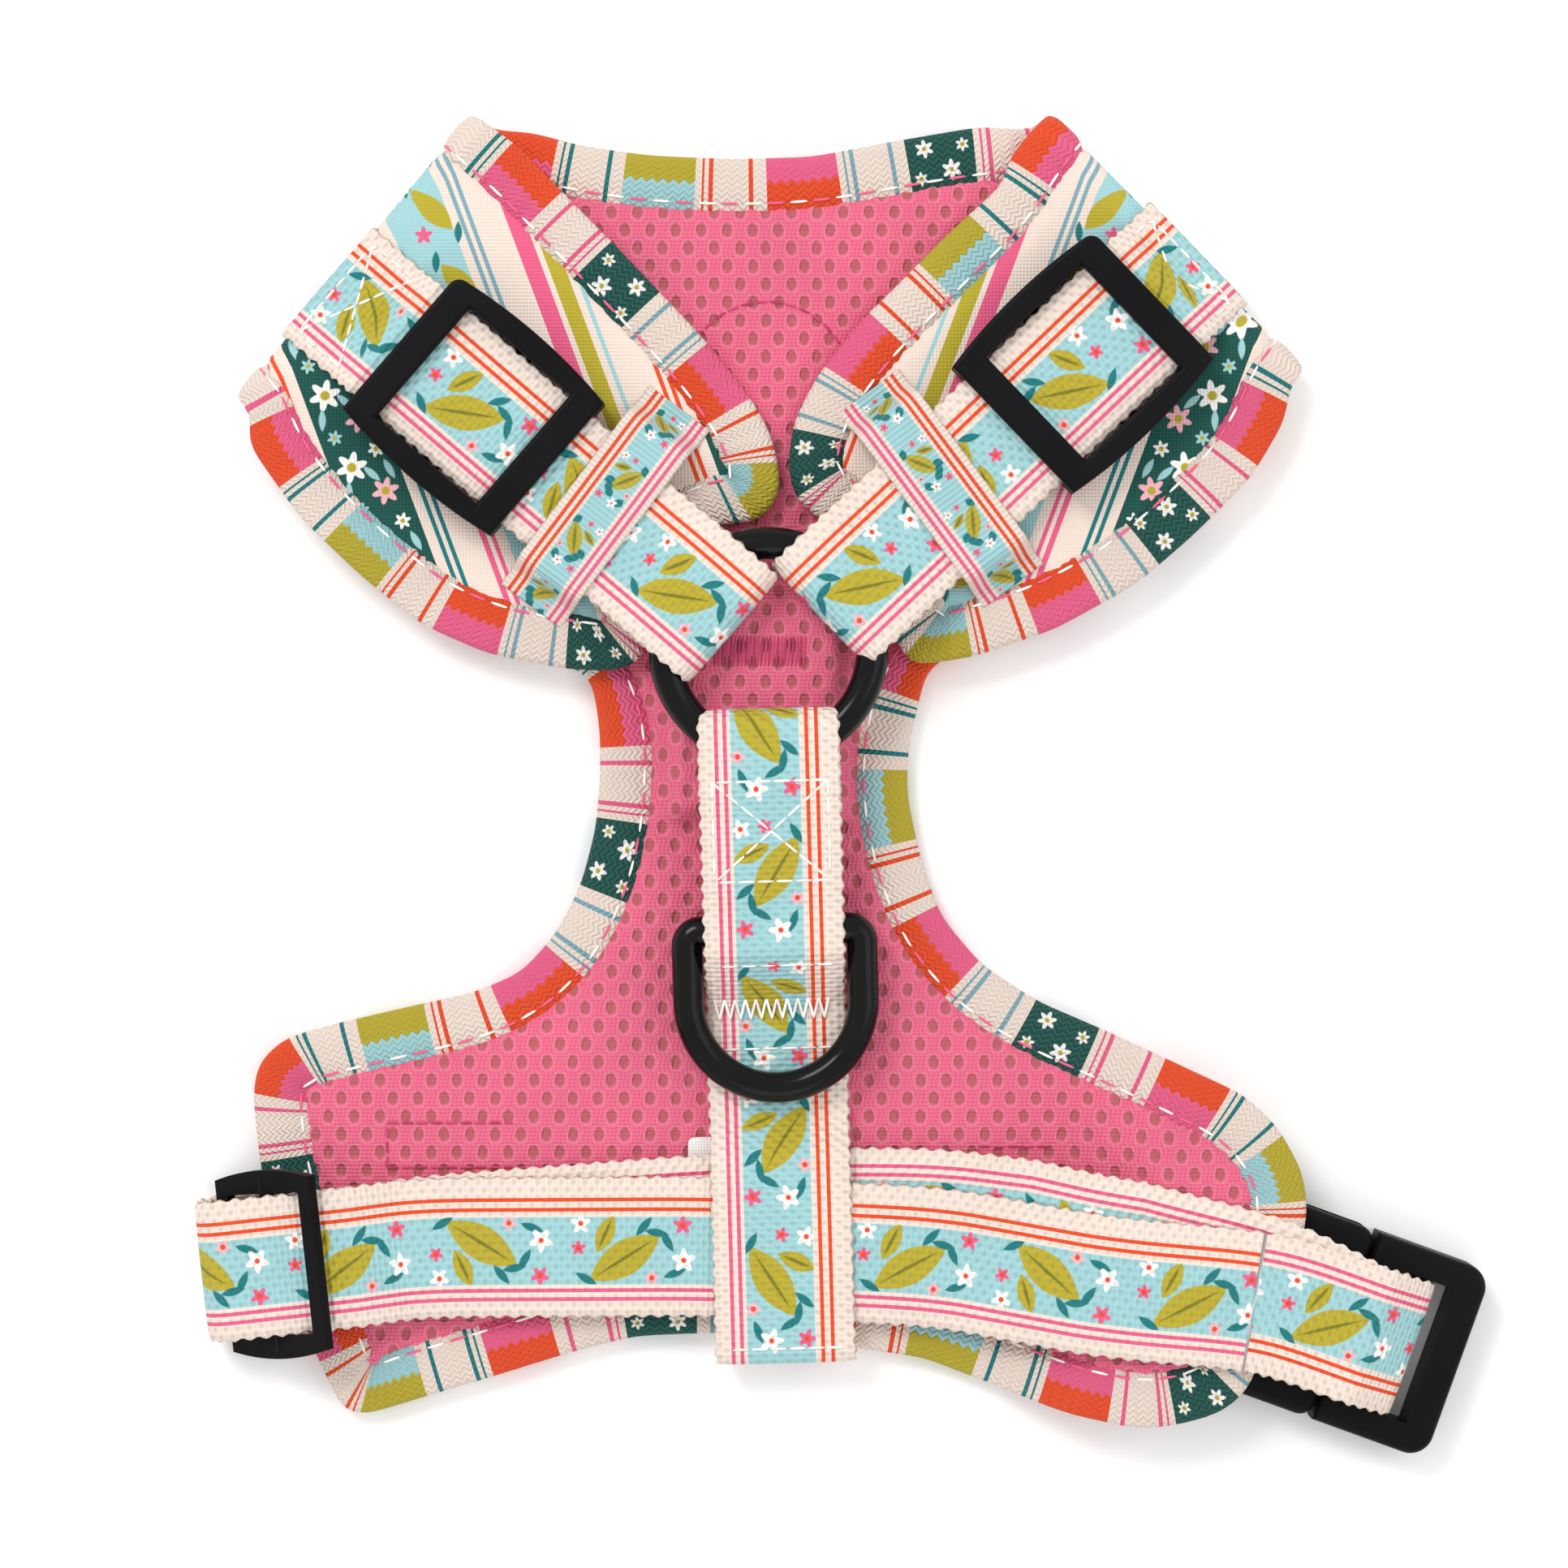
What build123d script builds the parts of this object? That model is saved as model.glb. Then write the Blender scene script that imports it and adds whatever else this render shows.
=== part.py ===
"""A padded no-pull dog harness, lying flat with its shoulder arms folded over. Millimetres, +Z up."""
from build123d import *
from math import asin, atan2, cos, degrees, radians, sin, tan
import os

os.makedirs("parts", exist_ok=True)

# --- Webbing and cloth ---
web_width = 20.0
web_thick = 0.9
elastic_width = 10.7
elastic_thick = 0.6
tab_web_width = 15.0
fabric_thick = 0.8
lining_thick = 2.2
binding_width = 8.0
binding_thick = 0.5

# --- Clearances ---
soft_gap = 0.3
pin_gap = 0.2

# --- Hardware ---
ring_radius = 17.1
ring_wire = 4.6
dee_width = 29.4
dee_length = 26.9
dee_wire = 4.4
front_dee_length = 19.0
front_dee_wire = 3.0
slider_length = 27.6
slider_end_width = 24.8
slider_mid_width = 27.1
slider_bar = 4.4
slider_cap = 1.6
slider_pin_thick = 1.2
slider_pin_length = 3.4
girth_slider_length = 18.2
buckle_width = 28.5
buckle_height = 7.5
buckle_wall = 1.6
socket_length = 31.0
plug_length = 17.4

# --- Travels ---
slider_in = 1.5
slider_out = 1.0

# --- Levels, from the table up ---
web_z = web_thick / 2
panel_z = web_thick + 0.1
panel_thick = fabric_thick + lining_thick
panel_top = panel_z + panel_thick
front_loop_height = front_dee_wire + 2 * (0.15 + web_thick)
pocket_z = front_loop_height + 0.1
pad_top = pocket_z + panel_thick
wing_z = panel_top + 0.6
wing_top = wing_z + panel_thick
end_rise = buckle_height + soft_gap - panel_z


def smooth(points):
    """Straight runs joined by tangent arcs, each arc as large as its two runs allow."""
    corners = [Vector(*point) for point in points]
    radii = []
    for before, corner, after in zip(corners, corners[1:], corners[2:]):
        turn = radians((corner - before).get_angle(after - corner))
        shorter = min((corner - before).length, (after - corner).length)
        radii.append(0.45 * shorter / tan(turn / 2))
    FilletPolyline(*points, radius=radii)


def edges_of(*stretches):
    """Closed outline from stretches of points: two points make a line, more make a smooth curve."""
    for points in stretches:
        if len(points) == 2:
            Line(*points)
        else:
            smooth(points)


# --- Outline of the lower layer of the chest panel ---
left_fold_low = (-84.6, 53.1)
left_fold_high = (-50.9, 93.8)
right_fold_low = (63.9, 56.9)
right_fold_high = (27.3, 93.75)
left_waist = (-35.4, 13.0)
right_waist = (11.2, 13.0)
left_end_high = (-84.3, -41.5)
left_end_low = (-71.5, -91.0)
right_end_high = (61.8, -49.0)
right_end_low = (55.0, -89.4)
panel_edge = (
    [left_fold_high, (-45.0, 93.3), (-33.0, 90.6), (-12.0, 89.4), (8.0, 92.0), (19.0, 94.0), right_fold_high],
    [right_fold_high, right_fold_low],
    [right_fold_low, (56.0, 44.0), (38.0, 29.8), (20.0, 21.2), right_waist],
    [right_waist, (9.2, -1.9), (14.1, -19.4), (28.0, -31.6), (47.8, -40.3), right_end_high],
    [right_end_high, (66.0, -58.0), (64.8, -70.0), (60.0, -82.0), right_end_low],
    [right_end_low, (42.0, -92.3), (18.7, -85.7), (-5.0, -80.8), (-30.1, -79.8), (-52.0, -86.2), left_end_low],
    [left_end_low, left_end_high],
    [left_end_high, (-62.7, -32.6), (-46.4, -27.5), (-37.7, -14.7), (-35.0, 0.4), left_waist],
    [left_waist, (-45.0, 19.5), (-58.0, 25.0), (-72.0, 36.5), left_fold_low],
    [left_fold_low, left_fold_high],
)
folds = {"left": (left_fold_low, left_fold_high), "right": (right_fold_low, right_fold_high)}
left_wing_edge = (
    [left_fold_low, (-77.8, 37.6), (-60.4, 22.5), (-39.4, 16.1), (-28.5, 16.4)],
    [(-28.5, 16.4), (-26.8, 33.0), (-19.0, 38.6), (-8.9, 39.0)],
    [(-8.9, 39.0), (-9.8, 49.3), (-19.7, 63.2), left_fold_high],
    [left_fold_high, left_fold_low],
)
right_wing_edge = (
    [right_fold_low, (50.1, 35.3), (30.4, 21.9), (10.0, 16.4)],
    [(10.0, 16.4), (6.0, 32.0), (3.0, 38.0), (-3.8, 39.0)],
    [(-3.8, 39.0), (-1.8, 50.0), (8.0, 60.0), (19.0, 74.0), right_fold_high],
    [right_fold_high, right_fold_low],
)

# --- Strap lines: a point on the line, its heading away from the ring and how far the point is along it ---
ring_center = (-10.7, 19.1)
ring_bore = ring_wire / 2 + soft_gap + web_thick / 2
ring_loop_z = pad_top + soft_gap + web_thick / 2
ring_z = ring_loop_z + ring_bore
ring_top_z = ring_z + ring_bore
slider_z = wing_top + soft_gap
pin_z = slider_z + web_thick + 0.15 + slider_pin_thick / 2
strap_high_z = pin_z + slider_pin_thick / 2 + 0.15 + web_thick + soft_gap + web_thick / 2
cap_z = strap_high_z + web_thick / 2 + soft_gap
return_z = slider_z + web_thick / 2
shoulders = {
    "left": dict(at=(-14.4, 20.4), heading=139.2, along=3.65, fold=5.2, keeper=30.9, slider=54.0, end=82.0),
    "right": dict(at=(-4.5, 22.6), heading=43.8, along=6.9, fold=8.2, keeper=33.6, slider=60.1, end=83.5),
}


def upright(at, heading, along=0.0):
    """Upright plane through a strap line: x runs along the strap and y is height."""
    dx = cos(radians(heading))
    dy = sin(radians(heading))
    foot = (at[0] - along * dx, at[1] - along * dy, 0)
    return Plane(origin=foot, x_dir=(dx, dy, 0), z_dir=(dy, -dx, 0))


def flat(at, heading, along, distance, height):
    """Level plane on a strap line at a distance along it: x runs along the strap."""
    dx = cos(radians(heading))
    dy = sin(radians(heading))
    step = distance - along
    return Plane(origin=(at[0] + step * dx, at[1] + step * dy, height), x_dir=(dx, dy, 0), z_dir=(0, 0, 1))


def strap_solid(plane, points, radii, width, thick):
    """A band of webbing: its section swept along straight runs joined by arcs."""
    with BuildPart() as band:
        with BuildLine(plane) as route:
            FilletPolyline(*points, radius=radii)
        start = route.line @ 0
        ahead = route.line % 0
        with BuildSketch(Plane(origin=start, x_dir=plane.z_dir, z_dir=ahead)):
            Rectangle(width, thick)
        sweep(path=route.line)
    return band.part


def finish(solid, name):
    """Label a piece and write its file."""
    solid.label = name
    export_step(solid, f"parts/{name}.step")
    print(name, len(solid.solids()), round(solid.volume, 1), solid.is_valid)


# --- Sheet levels: the panel rises over the buckle at its right end ---
buckle_heading = -19.9
buckle_tip = (88.1, -83.7)
buckle_end = 111.8
seam = buckle_end - plug_length
socket_start = seam - socket_length
rise_start = socket_start - 14.4
rise_plane = upright(buckle_tip, buckle_heading, buckle_end)


def ring_solid(wire):
    """The O-ring, or a fatter one to cut with."""
    with BuildPart() as solid:
        with BuildSketch(Plane(origin=(*ring_center, ring_z), x_dir=(1, 0, 0), z_dir=(0, -1, 0))):
            with Locations((ring_radius - ring_wire / 2, 0)):
                Circle(wire / 2)
        revolve(axis=Axis((*ring_center, 0), (0, 0, 1)))
    return solid.part


def clear_of_ring(strap):
    """A strap whose fold is relieved at its corners, where the ring's wire runs out of it."""
    with BuildPart() as relieved:
        add(strap)
        add(ring_solid(ring_wire + 2 * pin_gap), mode=Mode.SUBTRACT)
    return relieved.part


def fold_frame(fold):
    """Unit headings along a fold line and out of the panel across it."""
    along = (Vector(*fold[1]) - Vector(*fold[0])).normalized()
    out = along.cross(Vector(0, 0, 1 if fold is folds["right"] else -1))
    return along, out


def plan_of(edge, inset, edge_folds):
    """Plan of a layer: inset from its bound edges, but running right up to its fold lines."""
    with BuildSketch() as plan:
        with BuildLine():
            edges_of(*edge)
        make_face()
        for fold in edge_folds:
            along, out = fold_frame(fold)
            far = [Vector(*fold[0]) - out * 0.01, Vector(*fold[1]) - out * 0.01]
            far += [point + out * 3 * binding_width for point in reversed(far)]
            with BuildLine():
                Polyline(*[(point.X, point.Y) for point in far], close=True)
            make_face()
        if inset:
            offset(amount=-inset)
        for fold in edge_folds:
            along, out = fold_frame(fold)
            middle = (Vector(*fold[0]) + Vector(*fold[1])) * 0.5 + out * 40
            with Locations(Location((middle.X, middle.Y, 0), (0, 0, degrees(atan2(along.Y, along.X))))):
                Rectangle(200, 80, mode=Mode.SUBTRACT)
    return plan.sketch


def sheet(low, high, inset):
    """A layer of the lower panel between two heights; it rises over the buckle at its right end."""
    with BuildPart() as layer:
        with BuildSketch(rise_plane):
            with BuildLine():
                Polyline(
                    (-220, low), (rise_start, low), (socket_start - 0.5, low + end_rise),
                    (150, low + end_rise), (150, high + end_rise), (socket_start - 0.5, high + end_rise),
                    (rise_start, high), (-220, high), close=True,
                )
            make_face()
        extrude(amount=220, both=True)
        add(plan_of(panel_edge, inset, folds.values()))
        extrude(amount=30, mode=Mode.INTERSECT)
    return layer.part


def wing_layer(side, low, high, inset):
    """Flat layer of a folded arm between two heights."""
    with BuildPart() as layer:
        add(plan_of(wing_edges[side], inset, [folds[side]]))
        extrude(amount=high - low)
    return layer.part.moved(Location((0, 0, low)))


def roll(side, inner, outer, start, end):
    """Half-round stretch of the fold that joins the lower layer to an arm, between two radii."""
    along, out = fold_frame(folds[side])
    length = (Vector(*folds[side][1]) - Vector(*folds[side][0])).length
    start = start + length if start < 0 else start
    end = end + length if end <= 0 else end
    foot = Vector(*folds[side][0]) + along * start
    with BuildPart() as solid:
        with BuildSketch(Plane(origin=(foot.X, foot.Y, (panel_z + wing_top) / 2), x_dir=out, z_dir=along)):
            Circle(outer)
            Circle(inner, mode=Mode.SUBTRACT)
            with Locations((-outer, 0)):
                Rectangle(2 * outer, 2 * outer, mode=Mode.SUBTRACT)
        extrude(amount=end - start)
    return solid.part


# --- Chest panel: printed outer fabric, air-mesh lining and edge binding ---
pad_center = (-12.5, 13.0)
pad_size = (25.8, 37.0)
pocket_size = (pad_size[0] - 3.6, pad_size[1] - 3.6)
pan_size = (pad_size[0] - 1.8, pad_size[1] - 1.8)
core_low = binding_thick
core_high = panel_thick - binding_thick
core_split = core_low + fabric_thick
wing_edges = {"left": left_wing_edge, "right": right_wing_edge}
roll_radius = (wing_top - panel_z) / 2


def block(size, low, high):
    """Plain block over the front ring, between two heights."""
    with BuildPart() as solid:
        with BuildSketch(Plane.XY.offset(low)):
            with Locations(pad_center):
                RectangleRounded(*size, 3.0)
        extrude(amount=high - low)
    return solid.part


rim_stretches = ((binding_thick, binding_width), (-binding_width, -binding_thick))
end_stretches = ((0, binding_width), (-binding_width, 0))

with BuildPart() as fabric:
    add(sheet(panel_z + core_low, panel_z + core_split, binding_thick))
    add(sheet(panel_z + fabric_thick, panel_top, binding_width), mode=Mode.SUBTRACT)
    add(sheet(panel_z, panel_z + fabric_thick, binding_width))
    add(block(pan_size, panel_z, pocket_z + fabric_thick))
    add(block(pocket_size, 0, pocket_z), mode=Mode.SUBTRACT)
    for side in wing_edges:
        add(wing_layer(side, wing_top - core_split, wing_top - core_low, binding_thick))
        add(wing_layer(side, wing_z, wing_top - fabric_thick, binding_width), mode=Mode.SUBTRACT)
        add(wing_layer(side, wing_top - fabric_thick, wing_top, binding_width))
        add(roll(side, roll_radius - fabric_thick, roll_radius, binding_width, -binding_width))
        for start, end in rim_stretches:
            add(roll(side, roll_radius - core_split, roll_radius - core_low, start, end))
finish(fabric.part, "panel_fabric")

with BuildPart() as lining:
    add(sheet(panel_z + core_split, panel_z + core_high, binding_thick))
    add(sheet(panel_z + fabric_thick, panel_top, binding_width))
    add(block(pad_size, panel_z + fabric_thick, pad_top))
    add(block(pan_size, 0, pocket_z + fabric_thick), mode=Mode.SUBTRACT)
    for side in wing_edges:
        add(wing_layer(side, wing_top - core_high, wing_top - core_split, binding_thick))
        add(wing_layer(side, wing_z, wing_top - fabric_thick, binding_width))
        add(roll(side, roll_radius - panel_thick, roll_radius - fabric_thick, binding_width, -binding_width))
        for start, end in rim_stretches:
            add(roll(side, roll_radius - core_high, roll_radius - core_split, start, end))
finish(lining.part, "mesh_lining")

with BuildPart() as binding:
    add(sheet(panel_z, panel_top, 0))
    for side in wing_edges:
        add(wing_layer(side, wing_z, wing_top, 0))
        for start, end in end_stretches:
            add(roll(side, roll_radius - panel_thick, roll_radius, start, end))
    add(sheet(panel_z - 1, panel_top + 1, binding_width), mode=Mode.SUBTRACT)
    add(sheet(panel_z + core_low, panel_z + core_high, binding_thick), mode=Mode.SUBTRACT)
    add(block(pad_size, 0, pad_top), mode=Mode.SUBTRACT)
    for side in wing_edges:
        add(wing_layer(side, wing_z - 0.1, wing_top + 1, binding_width), mode=Mode.SUBTRACT)
        add(wing_layer(side, wing_top - core_high, wing_top - core_low, binding_thick), mode=Mode.SUBTRACT)
        for start, end in rim_stretches:
            add(roll(side, roll_radius - core_high, roll_radius - core_low, start, end), mode=Mode.SUBTRACT)
finish(binding.part, "edge_binding")

# --- Shoulder straps, their sliders and keepers ---
for side, line in shoulders.items():
    plane = upright(line["at"], line["heading"], line["along"])
    slider_s = line["slider"]
    edge_s = slider_s - slider_length / 2 - slider_in
    anchor_s = slider_s + slider_length / 2 + slider_out + 0.5
    fold_s = line["fold"] + web_thick / 2
    wire_s = ring_radius + 0.6
    keeper_low = line["keeper"] - elastic_width / 2
    anchor_z = wing_top + web_z
    points = [
        (line["end"], anchor_z), (anchor_s + 3.6, anchor_z), (anchor_s, strap_high_z),
        (keeper_low - 2.4, strap_high_z),
        (wire_s, ring_top_z),
        (fold_s, ring_top_z), (fold_s, ring_loop_z), (wire_s, ring_loop_z),
        (keeper_low, return_z), (edge_s - 0.3, return_z),
    ]
    bend = 0.49 * 2 * ring_bore
    radii = [0.9, 0.9, 2.0, 2.0, bend, bend, 2.0, 2.0]
    finish(clear_of_ring(strap_solid(plane, points, radii, web_width, web_thick)), f"{side}_shoulder_strap")

    # The strap's sewn end, looped round the slider's middle bar.
    loop_r = slider_pin_thick / 2 + 0.15 + web_z
    pin_half = slider_pin_length / 2 + 0.5 + web_z
    tail = slider_length / 2 - 1.5
    points = [
        (slider_s - tail, pin_z - loop_r), (slider_s + pin_half, pin_z - loop_r),
        (slider_s + pin_half, pin_z + loop_r), (slider_s - pin_half - 1.5, pin_z + loop_r),
    ]
    bend = 0.49 * 2 * loop_r
    finish(strap_solid(plane, points, [bend, bend], web_width - 0.6, web_thick), f"{side}_strap_sewn_end")

    # Slider: bowed frame, two raised end bars and a low middle bar.
    level = flat(line["at"], line["heading"], line["along"], slider_s, 0)
    half_l = slider_length / 2
    half_w = slider_end_width / 2
    rail_low = pin_z - slider_pin_thick / 2
    with BuildPart() as slider:
        with BuildSketch(level.offset(rail_low)):
            with BuildLine():
                ThreePointArc((-half_l, half_w), (0, slider_mid_width / 2), (half_l, half_w))
                Line((half_l, half_w), (half_l, -half_w))
                ThreePointArc((half_l, -half_w), (0, -slider_mid_width / 2), (-half_l, -half_w))
                Line((-half_l, -half_w), (-half_l, half_w))
            make_face()
            Rectangle(slider_length - 2 * slider_bar, web_width + 2 * pin_gap, mode=Mode.SUBTRACT)
        extrude(amount=cap_z + slider_cap - rail_low)
        corners = slider.edges().filter_by(Axis.Z).group_by(SortBy.DISTANCE)[-1]
        fillet(corners, radius=1.8)
        top_face = slider.faces().sort_by(Axis.Z)[-1]
        fillet(top_face.edges(), radius=0.6)
        with BuildSketch(level.offset(rail_low - 1)):
            Rectangle(slider_length + 4, web_width + 2 * pin_gap)
        extrude(amount=cap_z - rail_low + 1, mode=Mode.SUBTRACT)
        with BuildSketch(level.offset(rail_low)):
            Rectangle(slider_pin_length, slider_mid_width - 2)
        extrude(amount=slider_pin_thick)
    finish(slider.part, f"{side}_strap_slider")

keeper_ends = {
    "left": ((-23.4, 53.4), (-44.7, 25.1)),
    "right": ((3.6, 55.8), (24.3, 28.0)),
}
keeper_top_z = strap_high_z + web_z + soft_gap + elastic_thick / 2
for side, (first, last) in keeper_ends.items():
    run = Vector(*last) - Vector(*first)
    heading = degrees(atan2(run.Y, run.X))
    middle = (Vector(*first) + Vector(*last)) * 0.5
    half = run.length / 2
    foot_z = wing_top + elastic_thick / 2
    lift = web_width / 2 + 2.6
    plane = upright((middle.X, middle.Y), heading)
    points = [
        (-half, foot_z), (-lift - 2.2, foot_z), (-lift, keeper_top_z),
        (lift, keeper_top_z), (lift + 2.2, foot_z), (half, foot_z),
    ]
    finish(strap_solid(plane, points, [0.7, 0.7, 0.7, 0.7], elastic_width, elastic_thick), f"{side}_strap_keeper")

# --- O-ring that gathers the three straps ---
finish(ring_solid(ring_wire), "o_ring")


def dee_ring(level, width, length, wire):
    """D-ring of round wire: x of the plane is its length away from the bar, which lies on the y axis."""
    half = (width - wire) / 2
    reach = length - wire
    straight = reach - half
    with BuildPart() as dee:
        with BuildLine(level) as route:
            Line((0, 0), (0, half - 2.0))
            RadiusArc((0, half - 2.0), (2.0, half), 2.0)
            Line((2.0, half), (straight, half))
            ThreePointArc((straight, half), (reach, 0), (straight, -half))
            Line((straight, -half), (2.0, -half))
            RadiusArc((2.0, -half), (0, -half + 2.0), 2.0)
            Line((0, -half + 2.0), (0, 0))
        with BuildSketch(Plane(origin=level.origin, z_dir=level.y_dir)):
            Circle(wire / 2)
        sweep(path=route.line)
    return dee.part


# --- Back strap: one band round the O-ring at one end and the girth strap at the other ---
back_at = (-10.8, 10.5)
back_heading = -88.4
back_length = 93.8
back_plane = upright(back_at, back_heading)
under_z = panel_top + soft_gap + web_z
dee_s = 31.6
dee_z = under_z + web_z + soft_gap + 1.2 + dee_wire / 2
over_dee_z = dee_z + dee_wire / 2 + soft_gap + web_z
over_z = under_z + web_thick + soft_gap
girth_under_z = under_z + web_thick + soft_gap
girth_over_z = girth_under_z + web_thick + soft_gap
girth_cover_z = girth_over_z + web_thick + soft_gap
girth_s = 77.2
girth_half = web_width / 2 + 3.2
pad_end_s = back_at[1] - (pad_center[1] - pad_size[1] / 2) + 0.6
points = [
    (49.0, under_z), (pad_end_s + 5.0, under_z), (pad_end_s, ring_loop_z), (web_z, ring_loop_z),
    (web_z, ring_top_z), (11.5, ring_top_z), (dee_s - 3.2, over_dee_z), (dee_s + 3.2, over_dee_z),
    (dee_s + 10.5, over_z), (girth_s - girth_half - 4.5, over_z), (girth_s - girth_half, girth_cover_z),
    (back_length - web_z, girth_cover_z), (back_length - web_z, under_z), (51.0, under_z),
]
ring_bend = 0.49 * 2 * ring_bore
end_bend = 0.49 * (girth_cover_z - under_z)
radii = [2.0, 2.0, ring_bend, ring_bend, 3.0, 2.5, 2.5, 2.0, 1.5, 1.5, end_bend, end_bend]
finish(clear_of_ring(strap_solid(back_plane, points, radii, web_width, web_thick)), "back_strap")
finish(dee_ring(flat(back_at, back_heading, 0, dee_s, dee_z), dee_width, dee_length, dee_wire), "back_dee_ring")

# --- Front ring, its tab and the blank patch under the chest ---
front_bar = (pad_center[0], 14.0)
front_z = web_thick + 0.15 + front_dee_wire / 2
front_width = tab_web_width + 2 * pin_gap + 2 * front_dee_wire
front_droop = asin((front_z - front_dee_wire / 2) / (front_dee_length - front_dee_wire))
front_level = Plane(
    origin=(*front_bar, front_z), x_dir=(0, -cos(front_droop), -sin(front_droop)),
    z_dir=(0, -sin(front_droop), cos(front_droop)),
)
finish(dee_ring(front_level, front_width, front_dee_length, front_dee_wire), "front_dee_ring")
front_r = front_dee_wire / 2 + 0.15 + web_z
layer_z = front_z + front_r - web_thick - 0.1
points = [
    (-13.0, layer_z), (-6.0, layer_z), (-2.4, front_z - front_r),
    (front_r, front_z - front_r), (front_r, front_z + front_r), (-13.0, front_z + front_r),
]
front_bend = 0.49 * 2 * front_r
tab_plane = upright(front_bar, -90)
radii = [1.0, 1.5, front_bend, front_bend]
finish(strap_solid(tab_plane, points, radii, tab_web_width, web_thick), "front_ring_tab")

patch_thick = 0.4
patch_radius = 11.5
patch_center = (-11.2, 57.5)
with BuildPart() as patch:
    with BuildSketch(Plane.XY.offset(panel_z - patch_thick)):
        with Locations(patch_center):
            Circle(patch_radius)
            with Locations((0, -patch_radius / 2)):
                Rectangle(2 * patch_radius, patch_radius + 4)
    extrude(amount=patch_thick)
finish(patch.part, "blank_patch")

# --- Girth strap: bowed in plan, climbing over the raised end of the panel ---
girth_line = [(-100, -71.0), (-60.0, -66.6), (-20.0, -66.4), (12.0, -67.8), (40.0, -72.0), (59.0, -73.2)]
girth_turns = [60.0, 150.0, 150.0, 90.0]
strap_end_s = seam - 10.6
buckle_cover_z = panel_top + end_rise + soft_gap + web_z
buckle_over_z = buckle_cover_z + web_thick + soft_gap
left_turn_x = -91.55
rise_x = buckle_tip[0] - (buckle_end - rise_start) * cos(radians(buckle_heading))
climb_start = rise_x - 12.0
climb_end = rise_x + 5.0
slider_x = -81.5
girth_tilt = 36.9
girth_pin_radius = 1.0
girth_slider_z = girth_under_z + 1.25
girth_loop_r = girth_pin_radius + 0.15 + web_z
girth_high_z = girth_slider_z + girth_loop_r + web_z + soft_gap + web_z


def girth_band(route, radii, right_end):
    """A layer of the girth strap: its height along X, cut to the strap's plan and squared off at its end."""
    heading = radians(buckle_heading)
    along = Vector(cos(heading), sin(heading))
    last = Vector(*right_end) + along * 12
    with BuildPart() as band:
        with BuildLine(Plane.XZ) as line:
            FilletPolyline(*route, radius=radii)
        with BuildSketch(Plane(origin=line.line @ 0, x_dir=(0, 1, 0), z_dir=line.line % 0)):
            Rectangle(400, web_thick)
        sweep(path=line.line)
        with BuildSketch() as plan:
            with BuildLine() as center:
                FilletPolyline(*girth_line, (last.X, last.Y), radius=girth_turns + [40.0])
            trace(center.line, line_width=web_width)
            with Locations(Location((last.X, last.Y, 0), (0, 0, buckle_heading))):
                Rectangle(24, 2 * web_width, mode=Mode.SUBTRACT)
        extrude(amount=40, mode=Mode.INTERSECT)
    return band.part


def on_axis(distance, height=0.0):
    """Point on the buckle's axis at a distance along it."""
    heading = radians(buckle_heading)
    step = distance - buckle_end
    return (buckle_tip[0] + step * cos(heading), buckle_tip[1] + step * sin(heading), height)


strap_end = on_axis(strap_end_s)
right_x = strap_end[0] + 25
route = [
    (-48.0, web_z), (left_turn_x, web_z), (left_turn_x, girth_high_z), (slider_x + 11.5, girth_high_z),
    (slider_x + 18.5, girth_over_z), (climb_start, girth_over_z), (climb_end, buckle_over_z),
    (right_x, buckle_over_z),
]
radii = [3.0, 3.0, 4.0, 4.0, 8.0, 8.0]
finish(girth_band(route, radii, strap_end[:2]), "girth_strap")
route = [
    (slider_x + 17.0, girth_under_z), (climb_start, girth_under_z), (climb_end, buckle_cover_z),
    (right_x, buckle_cover_z),
]
finish(girth_band(route, [8.0, 8.0], strap_end[:2]), "girth_strap_under_layer")

# --- Buckle: x runs along its axis from the seam to the strap end, y across ---
bar_low = 2.4
bar_thick = 2.6
slot_length = 3.8
inner_bar = 2.5
inner_slot = 2.8
outer_slot = 3.5
rail = (buckle_width - web_width - 2 * pin_gap) / 2
axis_dir = Vector(cos(radians(buckle_heading)), sin(radians(buckle_heading)), 0)
axis_plane = Plane(origin=on_axis(0), x_dir=axis_dir, z_dir=(0, 0, 1))
side_plane = upright(buckle_tip, buckle_heading, buckle_end)


def slab(start, end, low_y, high_y, low_z, high_z):
    """Rectangular block in the buckle's own frame."""
    with BuildPart() as solid:
        with BuildSketch(axis_plane.offset(low_z)):
            with Locations(((start + end) / 2, (low_y + high_y) / 2)):
                Rectangle(end - start, high_y - low_y)
        extrude(amount=high_z - low_z)
    return solid.part


half_width = buckle_width / 2
mouth_half = half_width - rail + 0.2
cavity_start = socket_start + 11.0
cavity_low = buckle_wall
cavity_high = buckle_height - buckle_wall
pad_start = cavity_start + 4.0
pad_length = 9.0
socket_bar_start = socket_start
slot_start = socket_bar_start + bar_thick

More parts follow.
